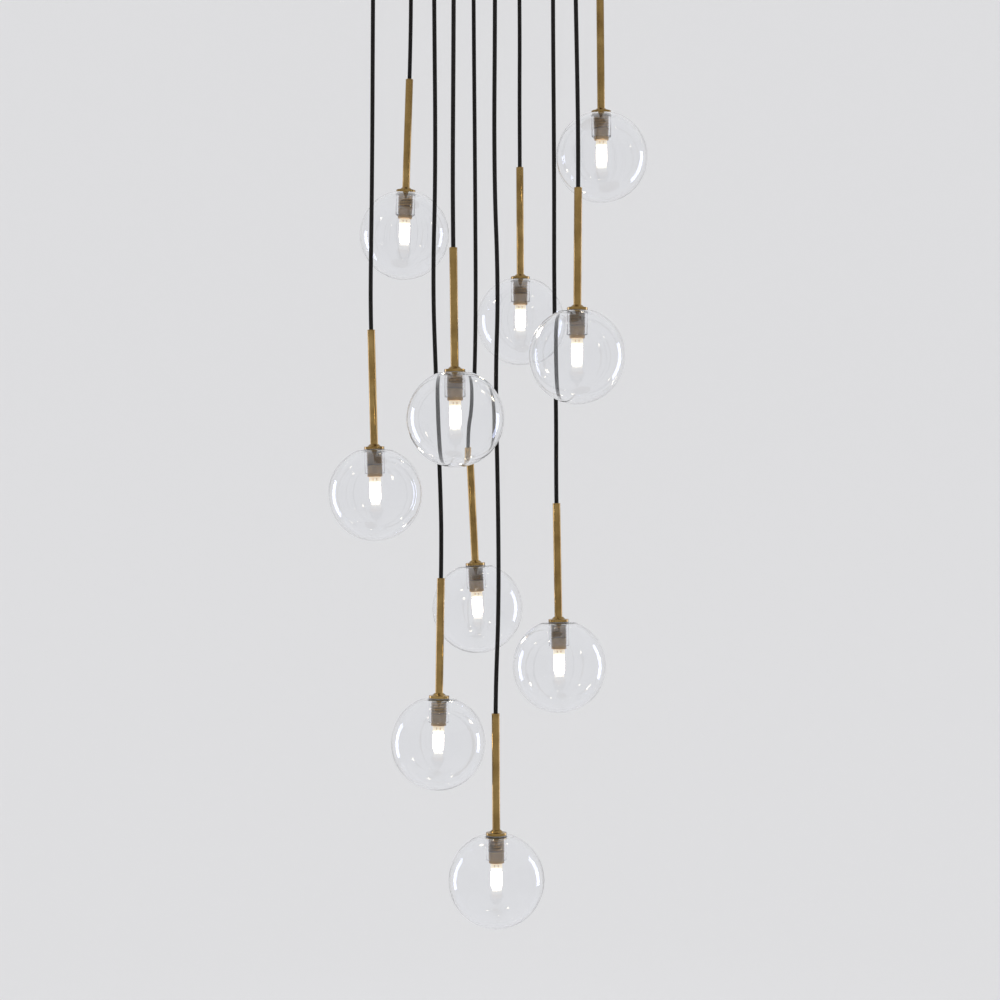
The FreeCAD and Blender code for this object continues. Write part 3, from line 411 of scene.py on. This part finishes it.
def core_sheath():
    """Thin cross-linked sheath of the cores inside the stem."""
    finish, shader = new_finish("core_sheath", Roughness=0.45)
    wipe = add(finish, "TexNoise", Vector=add(finish, "TexCoord").outputs["Object"],
               Scale=120.0).outputs[0]
    feed(finish, shade(finish, wipe, (0.3, (0.60, 0.60, 0.58)), (0.7, (0.72, 0.72, 0.70))),
         shader, "Base Color")
    return finish


def hang(mesh, name, number, body, slot, *nodes):
    """A copy of a piece's mesh on one pendant, placed through its points."""
    copy = mesh.copy()
    points = np.empty(3 * len(copy.vertices))
    copy.vertices.foreach_get("co", points)
    placed = on_pendant(points.reshape(-1, 3), number)
    copy.vertices.foreach_set("co", placed.ravel())
    copy.update()
    return show(f"{name}_{number}", copy, f"{body}_{number}", slot, *nodes)


POLISHED = ((0.22, 0.135, 0.045), (0.31, 0.20, 0.07), (0.40, 0.27, 0.105))
brass_finish = brass("polished_brass", up_the_surface, POLISHED, 0.12)
steel_finish = zinc_steel()
core_finish = core_sheath()

tube_ring = eased([(TUBE_BORE, TUBE_FOOT), (TUBE_RADIUS, TUBE_FOOT), (TUBE_RADIUS, TUBE_TOP),
                   (TUBE_BORE, TUBE_TOP)], 0.0003)
stem_tube = skin("stem_tube", [turned(tube_ring)], brass_finish)
bush_ring = eased([(BUSH_BORE, BUSH_FOOT), (TUBE_BORE - SLIP_FIT, BUSH_FOOT),
                   (TUBE_BORE - SLIP_FIT, TUBE_TOP), (TUBE_RADIUS, TUBE_TOP),
                   (TUBE_RADIUS, BUSH_TOP), (BUSH_BORE, BUSH_TOP)],
                  (0.0002, 0.0002, 0, 0.0001, 0.0006, 0.0005))
stem_bush = skin("stem_bush", [turned(bush_ring)], brass_finish)

# The screw lies along the sideways axis: its turned shape (x, y, z) is laid down as (z, y, -x).
socket_outline = eased([(0, BUSH_BORE), (GRUB_RADIUS, BUSH_BORE), (GRUB_RADIUS, TUBE_RADIUS),
                        (SOCKET_RADIUS, TUBE_RADIUS), (SOCKET_RADIUS, SOCKET_FLOOR + 0.0002),
                        (0, SOCKET_FLOOR)],
                       (0, 0.0001, 0.0002, 0.0001, 0, 0), ring=False)
grub = turned(socket_outline, 24)
grub = np.stack([grub[..., 2], grub[..., 1], GRUB_HEIGHT - grub[..., 0]], axis=-1)
grub_screw = skin("grub_screw", [grub], steel_finish)

nipple_ring = eased([(NIPPLE_BORE, NIPPLE_FOOT), (NIPPLE_RADIUS, NIPPLE_FOOT),
                     (NIPPLE_RADIUS, NIPPLE_TOP), (NIPPLE_BORE, NIPPLE_TOP)], 0.0002)
nipple = skin("nipple", [turned(nipple_ring, 32)], steel_finish)
cores = skin("cores", [round_bar(CORE_RADIUS, NIPPLE_FOOT, CORD_END, 0.0001, 12, (side, 0.0))
                       for side in (-CORE_OFFSET, CORE_OFFSET)], core_finish)

for number in PENDANTS:
    hang(stem_tube, "stem_tube", number, "pendant", "polished_brass", f"stem_{number}")
    hang(stem_bush, "stem_bush", number, "pendant", "polished_brass", f"stem_{number}")
    hang(grub_screw, "grub_screw", number, "pendant", "zinc_steel", f"stem_{number}")
    hang(nipple, "nipple", number, "pendant", "zinc_steel", f"stem_{number}")
    hang(cores, "cores", number, "pendant", "lead_sheath", f"stem_{number}")


# ---------------------------------------------------------------------------------------------
# Lampholders. A turned brass cap with a small flared collar sits on the glass over a clear
# gasket. Below it, in the glass neck, hangs a brass sleeve cut with a coarse round thread, which
# a nut holds to the nipple; in its end sits a tan ceramic insert with two contact slots.
# ---------------------------------------------------------------------------------------------
GLASS_TOP, CAP_BASE, CAP_TOP, COLLAR_TOP = 0.056, 0.057, 0.0605, 0.0635
CAP_RADIUS, COLLAR_RADIUS, COLLAR_WAIST = 0.013, 0.009, 0.006
SLEEVE_END, SLEEVE_BORE, SLEEVE_FLOOR = 0.0365, 0.0082, 0.055
THREAD_RADIUS, THREAD_DEPTH, THREAD_PITCH, THREAD_HALF_WIDTH = 0.010, 0.0009, 0.0036, 0.0011
THREAD_RUNOUT, THREAD_START, GASKET_ROOM = 0.0012, 0.67, 0.0004
NUT_RADIUS, NUT_FOOT = 0.0064, 0.052
CERAMIC_RADIUS, CERAMIC_END, SPIGOT_RADIUS = 0.0096, 0.022, 0.0081
CUT = ((0.05, 0.028, 0.010), (0.26, 0.15, 0.055), (0.38, 0.25, 0.10))
SLOT_OFFSET, SLOT_SIZE, CONTACT_SIZE = 0.0045, (0.0036, 0.0019, 0.016), (0.0035, 0.0004, 0.012)


def threaded(outline, around=48):
    """A turned sleeve whose outer side carries a helical groove.

    Where r is the outer radius, r falls by depth (1 + cos(pi d / w)) / 2 at a distance d < w
    from the groove, whose height gains one pitch on each turn: d = h - pitch (k + u / 2 pi).
    The depth grows from nought over the run-out at each end.
    """
    grid = turned(outline, around)
    u = np.linspace(0, 2 * np.pi, around + 1)[None]
    height = outline[:, 1:]
    turn = (height - SLEEVE_END) / THREAD_PITCH - u / (2 * np.pi) - THREAD_START
    distance = np.abs((turn + 0.5) % 1.0 - 0.5) * THREAD_PITCH
    groove = (1 + np.cos(np.pi * np.minimum(distance / THREAD_HALF_WIDTH, 1))) / 2
    from_end = np.minimum(height - SLEEVE_END, CAP_BASE - height)
    fade = np.clip(from_end / THREAD_RUNOUT, 0, 1)
    outside = (outline[:, :1] > THREAD_RADIUS - 1e-6).astype(float)
    scale = 1 - THREAD_DEPTH * groove * fade * outside / np.maximum(outline[:, :1], 1e-9)
    grid[..., :2] *= scale[..., None]
    grid[:, -1] = grid[:, 0]
    return grid


def mark_cuts(mesh):
    """Writes on each vertex, as `cut`, how deep it lies: (R - r) over the thread's depth."""
    points = np.empty(3 * len(mesh.vertices))
    mesh.vertices.foreach_get("co", points)
    inward = THREAD_RADIUS - np.hypot(points[0::3], points[1::3])
    depth = np.clip(inward / THREAD_DEPTH, 0, 1).astype(np.float32)
    mesh.attributes.new("cut", "FLOAT", "POINT").data.foreach_set("value", depth)


def block(size, middle, foot, ease=0.0001):
    """A box with eased corners: a superellipse |x/a|^12 + |y/b|^12 = 1 carried up the height."""
    u = np.linspace(0, 2 * np.pi, 33)
    cosine, sine = np.cos(u), np.sin(u)
    reach = (np.abs(cosine) ** 12 + np.abs(sine) ** 12) ** (-1 / 12)
    edge = np.stack([size[0] / 2 * reach * cosine, size[1] / 2 * reach * sine], axis=-1)
    edge[-1] = edge[0]
    share = np.array([0, 1 - 2 * ease / size[1], 1, 1, 1 - 2 * ease / size[1], 0])
    height = foot + np.array([0, 0, ease, size[2] - ease, size[2], size[2]])
    flat = share[:, None, None] * edge[None] + np.asarray(middle)
    return np.concatenate([flat, np.broadcast_to(height[:, None, None], (6, 33, 1))], axis=-1)


def hexagon(radius, bore, low, high, ease):
    """A nut: r(u) is that of a hexagon, R cos 30 / cos(u mod 60 - 30), bevelled at its ends."""
    outline = eased([(bore, low), (1.0, low), (1.0, high), (bore, high)], (ease, 0, 0, ease))
    outline = outline.copy()
    u = np.linspace(0, 2 * np.pi, 49)
    flat = radius * np.cos(np.pi / 6) / np.cos(u % (np.pi / 3) - np.pi / 6)
    radial = np.where(outline[:, :1] > 0.5, flat[None], outline[:, :1])
    grid = np.stack([radial * np.cos(u), radial * np.sin(u),
                     np.broadcast_to(outline[:, 1:], radial.shape)], axis=-1)
    grid[:, -1] = grid[:, 0]
    return grid


def cream_ceramic():
    """Glazed steatite: tan from the heat, a little darker in places, with fine pits."""
    finish, shader = new_finish("cream_ceramic", Roughness=0.42, Coat_Weight=0.1,
                                Coat_Roughness=0.2)
    place = add(finish, "TexCoord").outputs["Object"]
    cloud = add(finish, "TexNoise", Vector=place, Scale=160.0, Detail=3.0).outputs[0]
    feed(finish, shade(finish, cloud, (0.3, (0.36, 0.20, 0.06)), (0.7, (0.50, 0.30, 0.11))),
         shader, "Base Color")
    pits = add(finish, "TexNoise", Vector=place, Scale=2500.0, Detail=2.0).outputs[0]
    bump(finish, shader, pits, 0.00003, 0.4)
    return finish


def clear_gasket():
    """Soft clear silicone, faintly milky."""
    finish, shader = new_finish("clear_gasket", Roughness=0.35, Transmission_Weight=0.7, IOR=1.41)
    cloud = add(finish, "TexNoise", Vector=add(finish, "TexCoord").outputs["Object"],
                Scale=300.0).outputs[0]
    feed(finish, shade(finish, cloud, (0.3, (0.78, 0.79, 0.80)), (0.7, (0.90, 0.91, 0.92))),
         shader, "Base Color")
    return finish


def carved(mesh, tools, finish):
    """The mesh with the tools' shapes cut out of it; a Boolean modifier does the cutting."""
    blank = bpy.data.objects.new("blank", mesh)
    tool = bpy.data.objects.new("tool", skin("tool", tools, finish))
    for item in (blank, tool):
        bpy.context.scene.collection.objects.link(item)
    cutting = blank.modifiers.new("cutting", "BOOLEAN")
    cutting.operation, cutting.object = "DIFFERENCE", tool
    bpy.context.view_layer.update()
    ready = blank.evaluated_get(bpy.context.evaluated_depsgraph_get())
    result = bpy.data.meshes.new_from_object(ready)
    for item in (blank, tool):
        bpy.data.objects.remove(item)
    return result


ceramic_finish = cream_ceramic()
gasket_finish = clear_gasket()

gasket_bore = THREAD_RADIUS + GASKET_ROOM
gasket_ring = eased([(gasket_bore, GLASS_TOP), (CAP_RADIUS, GLASS_TOP), (CAP_RADIUS, CAP_BASE),
                     (gasket_bore, CAP_BASE)], 0.0002)
gasket = skin("gasket", [turned(gasket_ring)], gasket_finish)

cap_ring = eased([(TUBE_BORE, CAP_BASE), (CAP_RADIUS, CAP_BASE), (CAP_RADIUS, CAP_TOP),
                  (COLLAR_RADIUS, CAP_TOP), (COLLAR_WAIST, COLLAR_TOP),
                  (TUBE_RADIUS + SLIP_FIT, COLLAR_TOP), (TUBE_RADIUS + SLIP_FIT, TUBE_FOOT),
                  (TUBE_BORE, TUBE_FOOT)],
                 (0.0002, 0.0003, 0.0006, 0.0009, 0.0003, 0.0001, 0, 0.0001), steps=5)
cap = skin("brass_cap", [turned(cap_ring, 64)], brass_finish)

side_rows = np.linspace(SLEEVE_END, CAP_BASE, 84)
sleeve_side = np.stack([np.full_like(side_rows, THREAD_RADIUS), side_rows], axis=1)
sleeve_inside = [(TUBE_BORE, CAP_BASE), (TUBE_BORE, SLEEVE_FLOOR), (SLEEVE_BORE, SLEEVE_FLOOR),
                 (SLEEVE_BORE, SLEEVE_END)]
sleeve_ring = np.concatenate([sleeve_side, sleeve_inside, sleeve_side[:1]])
# The sleeve's thread grooves are darkened as painted shade, with some tarnish.
sleeve_finish = brass("cut_brass", up_the_surface, CUT, 0.16, 0.35)
sleeve = skin("threaded_sleeve", [threaded(sleeve_ring)], sleeve_finish, 50)
mark_cuts(sleeve)

nut = skin("holder_nut", [hexagon(NUT_RADIUS, TUBE_BORE, NUT_FOOT, SLEEVE_FLOOR, 0.0003)],
           steel_finish, 25)

ceramic_outline = eased([(0, CERAMIC_END), (CERAMIC_RADIUS, CERAMIC_END),
                         (CERAMIC_RADIUS, SLEEVE_END), (SPIGOT_RADIUS, SLEEVE_END),
                         (SPIGOT_RADIUS, NIPPLE_FOOT), (0, NIPPLE_FOOT)],
                        (0, 0.0009, 0.0004, 0, 0.0004, 0), ring=False)
sides = (-SLOT_OFFSET, SLOT_OFFSET)
past_the_end = 0.002
slot_tools = [block((SLOT_SIZE[0], SLOT_SIZE[1], SLOT_SIZE[2] + past_the_end), (side, 0),
                    CERAMIC_END - past_the_end) for side in sides]
ceramic = carved(skin("ceramic_insert", [turned(ceramic_outline)], ceramic_finish), slot_tools,
                 ceramic_finish)
contact_foot = CERAMIC_END + SLOT_SIZE[2] - CONTACT_SIZE[2]
contact_back = (SLOT_SIZE[1] - CONTACT_SIZE[1]) / 2
contacts = skin("contacts", [block(CONTACT_SIZE, (side, contact_back), contact_foot, 0.00005)
                             for side in sides], steel_finish)

for number in PENDANTS:
    node = f"holder_{number}"
    hang(gasket, "gasket", number, "pendant", "clear_glass", node)
    hang(cap, "brass_cap", number, "pendant", "polished_brass", node)
    hang(sleeve, "threaded_sleeve", number, "pendant", "polished_brass", node)
    hang(nut, "holder_nut", number, "pendant", "zinc_steel", node)
    hang(ceramic, "ceramic_insert", number, "pendant", "cream_ceramic", node)
    hang(contacts, "contacts", number, "pendant", "zinc_steel", node)


# ---------------------------------------------------------------------------------------------
# Bulbs. Two-pin capsule bulbs, lit. The glass is pressed flat at its upper end round two flat
# pins, necks in under this pinch and hangs as a round capsule; a coiled filament stands in it.
# ---------------------------------------------------------------------------------------------
PINCH_SIZE, PINCH_FOOT, BULB_TIP, CAPSULE_RADIUS = (0.0145, 0.007, 0.009), 0.013, -0.012, 0.0068
PIN_SIZE = (0.003, 0.0008, 0.008)
FILAMENT_RADIUS, FILAMENT_FOOT = 0.0008, -0.003
FOIL_MIDDLE, FOIL_HALF_WIDTH, FOIL_DOWN, FOIL_HALF_LENGTH = 0.203, 0.018, 0.00925, 0.0016
GLOW = 13.0


def capsule_glass():
    """Outside of the bulb, a superellipse |x/a|^n + |y/b|^n = 1 whose a, b and n change with z.

    The pinch has n = 6; below it the section turns into a circle, n = 2, and over the last
    6.8 mm the radius closes as R cos t, with z = -R sin t from the dome's centre.
    """
    t = np.linspace(0, np.pi / 2, 14)
    dome = BULB_TIP + CAPSULE_RADIUS
    wide, deep = PINCH_SIZE[0] / 2, PINCH_SIZE[1] / 2
    top = CERAMIC_END
    rows = [(0, 0, 6, top), (wide - 0.0006, deep - 0.0006, 6, top), (wide, deep, 6, top - 0.0006),
            (wide, deep, 6, 0.0148), (wide - 0.0002, deep - 0.0001, 6, 0.0141),
            (0.0058, 0.0031, 4, 0.0134), (0.0055, 0.0036, 3, 0.0128), (0.0061, 0.0050, 2.4, 0.0121),
            (0.0066, 0.0061, 2.1, 0.0112), (CAPSULE_RADIUS, 0.0067, 2, 0.0102),
            (CAPSULE_RADIUS, CAPSULE_RADIUS, 2, 0.0085), (CAPSULE_RADIUS, CAPSULE_RADIUS, 2, 0.002)]
    closing = np.stack([CAPSULE_RADIUS * np.cos(t), CAPSULE_RADIUS * np.cos(t), np.full(14, 2.0),
                        dome - CAPSULE_RADIUS * np.sin(t)], axis=1)
    closing[-1, :2] = 0
    a, b, n, z = (column[:, None] for column in np.concatenate([rows, closing]).T)
    u = np.linspace(0, 2 * np.pi, 49)
    reach = (np.abs(np.cos(u)) ** n + np.abs(np.sin(u)) ** n) ** (-1 / n)
    grid = np.stack([a * reach * np.cos(u), b * reach * np.sin(u), np.broadcast_to(z, reach.shape)],
                    axis=-1)
    grid[:, -1] = grid[:, 0]
    return grid


def within(finish, output, middle, reach):
    """One where an output is nearer than a reach to a middle value, nought elsewhere."""
    away = reckon(finish, "ABSOLUTE", reckon(finish, "SUBTRACT", output, middle))
    return reckon(finish, "LESS_THAN", away, reach)


def lit_glass():
    """Glass round a burning filament, bright in the capsule and cream up in the pinch.

    The glow follows the length v down the glass. In the pinch two dark foils show on each face:
    with w the share of the way round, folded back at each quarter, a foil lies where w is within
    its half width of its middle and v within its half length.
    """
    finish, shader = new_finish("lit_glass", Base_Color=(0.80, 0.74, 0.60, 1), Roughness=0.08,
                                Emission_Color=(1.0, 0.90, 0.72, 1))
    surface = add(finish, "UVMap", {"uv_map": "surface"}).outputs[0]
    place = add(finish, "SeparateXYZ", Vector=surface)
    around, along = place.outputs[0], place.outputs[1]
    glow = shade(finish, reckon(finish, "MULTIPLY", along, 25.0),
                 (0.0, (0.030, 0.030, 0.030)), (0.27, (0.040, 0.040, 0.040)),
                 (0.32, (0.070, 0.070, 0.070)), (0.38, (0.4, 0.4, 0.4)),
                 (0.46, (0.9, 0.9, 0.9)), (0.80, (1.0, 1.0, 1.0)), (0.95, (0.5, 0.5, 0.5)))
    face = reckon(finish, "PINGPONG", around, 0.25)
    foil = within(finish, face, FOIL_MIDDLE, FOIL_HALF_WIDTH)
    inside = within(finish, along, FOIL_DOWN, FOIL_HALF_LENGTH)
    clear = reckon(finish, "MULTIPLY_ADD", reckon(finish, "MULTIPLY", foil, inside), -0.85, 1.0)
    feed(finish, reckon(finish, "MULTIPLY", reckon(finish, "MULTIPLY", glow, GLOW), clear),
         shader, "Emission Strength")
    return finish


def glowing_wire():
    """Tungsten coil at white heat; its turns show as bands."""
    finish, shader = new_finish("glowing_wire", Roughness=0.5, Base_Color=(0.4, 0.35, 0.3, 1),
                                Emission_Color=(1.0, 0.86, 0.62, 1))
    along = up_the_surface(finish)
    turns = reckon(finish, "ABSOLUTE", reckon(finish, "SINE",
                   reckon(finish, "MULTIPLY", along, 7000.0)))
    feed(finish, reckon(finish, "MULTIPLY_ADD", turns, 5.0, 3.0), shader, "Emission Strength")
    return finish


glow_finish = lit_glass()
wire_finish = glowing_wire()
envelope = skin("bulb_glass", [capsule_glass()], glow_finish, 50)
pins = skin("bulb_pins", [block(PIN_SIZE, (side, 0), CERAMIC_END, 0.0001) for side in sides],
            steel_finish)
filament = skin("filament", [round_bar(FILAMENT_RADIUS, FILAMENT_FOOT, PINCH_FOOT, 0.0002, 12)],
                wire_finish)
for number in PENDANTS:
    node = f"bulb_{number}"
    hang(envelope, "bulb_glass", number, "lamp", "bulb_glass", node)
    hang(pins, "bulb_pins", number, "lamp", "zinc_steel", node)
    hang(filament, "filament", number, "lamp", "bulb_glass", node)


# ---------------------------------------------------------------------------------------------
# Globes. Mouth-blown clear glass, 120 mm wide and 1.8 mm thick. The top is ground flat and its
# edge rounded, and the neck is turned inwards, so that it stands round the lampholder inside.
# ---------------------------------------------------------------------------------------------
GLOBE_RADIUS, GLASS_WALL, NECK_BORE, NECK_WALL, NECK_END = 0.060, 0.0018, 0.0103, 0.0025, 0.026


def globe_outline():
    """The outline of the glass, from the outer pole round the neck to the inner pole.

    Both walls are circles, r = R cos t and h = R sin t, up to 3.5 mm short of the flat top.
    """
    short, steps = 0.0035, 72
    inner = GLOBE_RADIUS - GLASS_WALL
    ceiling = GLASS_TOP - GLASS_WALL
    walls, shoulders = [], []
    for radius, top in ((GLOBE_RADIUS, GLASS_TOP), (inner, ceiling)):
        edge = np.arcsin(top / radius)
        t = np.linspace(-np.pi / 2, edge - short / radius, steps)
        wall = radius * np.stack([np.cos(t), np.sin(t)], axis=1)
        wall[0, 0] = 0
        walls.append(wall)
        shoulders.append((radius * np.cos(edge), top))
    corners = [shoulders[0], (NECK_BORE, GLASS_TOP), (NECK_BORE, NECK_END),
               (NECK_BORE + NECK_WALL, NECK_END), (NECK_BORE + NECK_WALL, ceiling), shoulders[1]]
    ease = [0.0034, 0.0010, 0.0011, 0.0011, 0.0010, 0.0030]
    whole = np.concatenate([walls[0], corners, walls[1][::-1]])
    eases = np.concatenate([np.zeros(steps), ease, np.zeros(steps)])
    return eased(whole, eases, steps=6, ring=False)


def clear_glass():
    """Clear blown glass: hardly tinted, with the slow waves of hand work in both its faces."""
    finish, shader = new_finish("clear_glass", Base_Color=(0.976, 0.980, 0.988, 1), IOR=1.50,
                                Transmission_Weight=1.0)
    place = add(finish, "TexCoord").outputs["Object"]
    waves = add(finish, "TexNoise", Vector=place, Scale=22.0, Detail=1.0).outputs[0]
    smear = add(finish, "TexNoise", Vector=place, Scale=60.0, Detail=3.0).outputs[0]
    feed(finish, reckon(finish, "MULTIPLY", smear, 0.02), shader, "Roughness")
    bump(finish, shader, waves, 0.0006, 0.35)
    return finish


glass_finish = clear_glass()
globe = skin("glass_globe", [turned(globe_outline(), 96)], glass_finish, 60)
for number in PENDANTS:
    hang(globe, "glass_globe", number, "shade", "clear_glass", f"globe_{number}")


# ---------------------------------------------------------------------------------------------
# Canopy. A dish of spun brass, 400 mm wide, covers the wiring. Its rim hangs on four brass
# screws in the tabs of a zinc-plated steel bracket, which four screws hold to the ceiling.
# ---------------------------------------------------------------------------------------------
def dress(node, finish):
    """Gives a node of the frame its finish."""
    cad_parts[node].material_slots[0].material = finish


def from_the_middle(finish, place):
    """Distance from the canopy's middle, for lines that run round it: sqrt(x^2 + y^2)."""
    flat = add(finish, "VectorMath", {"operation": "MULTIPLY"}, n0=place, n1=(1, 1, 0))
    return add(finish, "VectorMath", {"operation": "LENGTH"}, n0=flat.outputs[0]).outputs[1]


spun_finish = brass("spun_brass", from_the_middle, POLISHED, 0.14)
dress("canopy_dish", spun_finish)
dress("ceiling_bracket", steel_finish)
dress("side_screws", spun_finish)


# ---------------------------------------------------------------------------------------------
# Cord grips. Ten turned brass grips with a bell mouth go through the canopy, each with a nut
# above it and a small clamping screw in its nose.
# ---------------------------------------------------------------------------------------------
def up_the_height(finish, place):
    """Height, for lines that run round an upright turned piece."""
    return add(finish, "SeparateXYZ", Vector=place).outputs[2]


dress("cord_grips", brass("turned_brass", up_the_height, POLISHED, 0.08))
dress("grip_nuts", steel_finish)


# ---------------------------------------------------------------------------------------------
# Wiring. A moulded terminal block with ten clamp screws joins the ten leads to the supply. A
# green and yellow lead earths the canopy at a tag, and a rubber grommet lines the cable hole.
# ---------------------------------------------------------------------------------------------
TAG_PLACE, TAG_REACH = (-0.070, 0.012, 0.0), 0.0056


def moulded_plastic():
    """Moulded polyamide in off-white, matt, with the fine grain of its mould."""
    finish, shader = new_finish("terminal_plastic", Roughness=0.5)
    place = add(finish, "TexCoord").outputs["Object"]
    tone = add(finish, "TexNoise", Vector=place, Scale=60.0).outputs[0]
    feed(finish, shade(finish, tone, (0.3, (0.76, 0.75, 0.70)), (0.7, (0.85, 0.84, 0.80))),
         shader, "Base Color")
    grain = add(finish, "TexNoise", Vector=place, Scale=3000.0, Detail=2.0).outputs[0]
    bump(finish, shader, grain, 0.00003, 0.5)
    return finish


def lead_sheath():
    """Smooth grey sheath of the leads inside the canopy, dusty in places."""
    finish, shader = new_finish("lead_sheath", Roughness=0.42)
    dust = add(finish, "TexNoise", Vector=add(finish, "TexCoord").outputs["Object"], Scale=90.0,
               Detail=4.0).outputs[0]
    feed(finish, shade(finish, dust, (0.3, (0.60, 0.60, 0.58)), (0.7, (0.76, 0.76, 0.74))),
         shader, "Base Color")
    return finish


def earth_sheath():
    """Green sheath with yellow stripes, and bright metal within reach of the tag."""
    finish, shader = new_finish("earth_sheath", IOR=1.5)
    place = add(finish, "TexCoord").outputs["Object"]
    stripe = add(finish, "TexWave", {"bands_direction": "DIAGONAL"}, Vector=place, Scale=170.0,
                 Distortion=0.3).outputs[1]
    sheath = shade(finish, stripe, (0.55, (0.05, 0.26, 0.05)), (0.60, (0.75, 0.62, 0.05)))
    flat = add(finish, "VectorMath", {"operation": "MULTIPLY"}, n0=place, n1=(1, 1, 0))
    away = add(finish, "VectorMath", {"operation": "DISTANCE"}, n0=flat.outputs[0],
               n1=TAG_PLACE).outputs[1]
    metal = reckon(finish, "LESS_THAN", away, TAG_REACH)
    colour = add(finish, "Mix", {"data_type": "RGBA"}, Factor=metal)
    finish.node_tree.links.new(sheath, colour.inputs[6])
    colour.inputs[7].default_value = (0.70, 0.68, 0.62, 1)
    feed(finish, colour.outputs[2], shader, "Base Color")
    feed(finish, metal, shader, "Metallic")
    feed(finish, reckon(finish, "MULTIPLY_ADD", metal, -0.15, 0.42), shader, "Roughness")
    return finish


def grommet_rubber():
    """Black moulded rubber with a bloom of grey on it."""
    finish, shader = new_finish("grommet_rubber", Roughness=0.7)
    bloom = add(finish, "TexNoise", Vector=add(finish, "TexCoord").outputs["Object"],
                Scale=200.0, Detail=3.0).outputs[0]
    feed(finish, shade(finish, bloom, (0.35, (0.018, 0.018, 0.018)), (0.75, (0.06, 0.06, 0.06))),
         shader, "Base Color")
    return finish


dress("terminal_block", moulded_plastic())
dress("clamp_screws", steel_finish)
dress("inner_leads", lead_sheath())
dress("earth_lead", earth_sheath())
dress("supply_grommet", grommet_rubber())


# ---------------------------------------------------------------------------------------------
# Studio. A pale sweep surrounds the lamp on all sides. Two tall soft boxes at the sides, a little
# behind, draw the long highlights on glass and brass, and a wide one overhead, which gloss
# doesn't show, throws the soft shadows.
# ---------------------------------------------------------------------------------------------
PALE = (0.80, 0.80, 0.81)
FLAT_SHARE = 0.75
ROOM_LIGHT = 0.85
FLOOR_HEIGHT, FLOOR_REACH, SWEEP_RADIUS, WALL_TOP = -2.4, 4.0, 2.0, 2.0


def seen(finish):
    """One for the rays that show the backdrop, nought for those that light the object."""
    rays = add(finish, "LightPath").outputs
    total = reckon(finish, "ADD", rays["Is Camera Ray"], rays["Is Glossy Ray"])
    total = reckon(finish, "ADD", total, rays["Is Transmission Ray"])
    return reckon(finish, "MINIMUM", total, 1.0)


def pale_sweep():
    """Matt pale paint, shown at its written colour but with the light and shade that fall on it."""
    finish, shader = new_finish("pale_sweep", Base_Color=(*PALE, 1), Roughness=1.0)
    flat = add(finish, "Emission", Color=(*PALE, 1), Strength=1.0)
    share = reckon(finish, "MULTIPLY", seen(finish), FLAT_SHARE)
    mix = add(finish, "MixShader", n0=share, n1=shader.outputs[0], n2=flat.outputs[0])
    output = finish.node_tree.nodes["Material Output"]
    finish.node_tree.links.new(mix.outputs[0], output.inputs[0])
    return finish


t = np.linspace(0, np.pi / 2, 17)
bend = np.stack([FLOOR_REACH + SWEEP_RADIUS * np.sin(t),
                 FLOOR_HEIGHT + SWEEP_RADIUS * (1 - np.cos(t))], axis=1)
wall = [(FLOOR_REACH + SWEEP_RADIUS, WALL_TOP)]
sweep_outline = np.concatenate([[(0, FLOOR_HEIGHT)], bend, wall])
sweep = bpy.data.objects.new("sweep", skin("sweep", [turned(sweep_outline, 96)], pale_sweep()))
bpy.context.scene.collection.objects.link(sweep)
sweep.data.flip_normals()


def soft_box(name, place, aim, size, power, colour, mirrored=True):
    """A rectangular soft light at a place, facing a point; gloss shows it where it is mirrored."""
    light = bpy.data.lights.new(name, "AREA")
    light.shape = "RECTANGLE"
    light.size, light.size_y = size
    light.energy, light.color = power, colour
    box = bpy.data.objects.new(name, light)
    toward = np.array(aim, float) - np.array(place, float)
    box.location = place
    box.rotation_euler = (np.arctan2(np.hypot(toward[0], toward[1]), -toward[2]), 0,
                          np.arctan2(toward[1], toward[0]) - np.pi / 2)
    box.visible_camera = False
    box.visible_transmission = False
    box.visible_glossy = mirrored
    bpy.context.scene.collection.objects.link(box)


MIDDLE, TALL, WIDE = (0.0, 0.0, -0.85), (0.6, 1.9), (1.6, 1.6)
COOL, WHITE = (0.66, 0.72, 1.0), (1.0, 1.0, 1.0)
soft_box("left_box", (-2.2, 1.1, -1.2), MIDDLE, TALL, 22, COOL)
soft_box("right_box", (2.2, 1.1, -1.0), MIDDLE, TALL, 22, COOL)
soft_box("top_box", (0.6, -0.6, 1.9), MIDDLE, WIDE, 40, WHITE, mirrored=False)

world = bpy.data.worlds.new("pale_room")
world.use_nodes = True
background = world.node_tree.nodes["Background"]
background.inputs["Color"].default_value = (*PALE, 1)
level = reckon(world, "MULTIPLY_ADD", seen(world), 1 - ROOM_LIGHT, ROOM_LIGHT)
world.node_tree.links.new(level, background.inputs["Strength"])
bpy.context.scene.world = world
bpy.context.scene.view_settings.view_transform = "Standard"
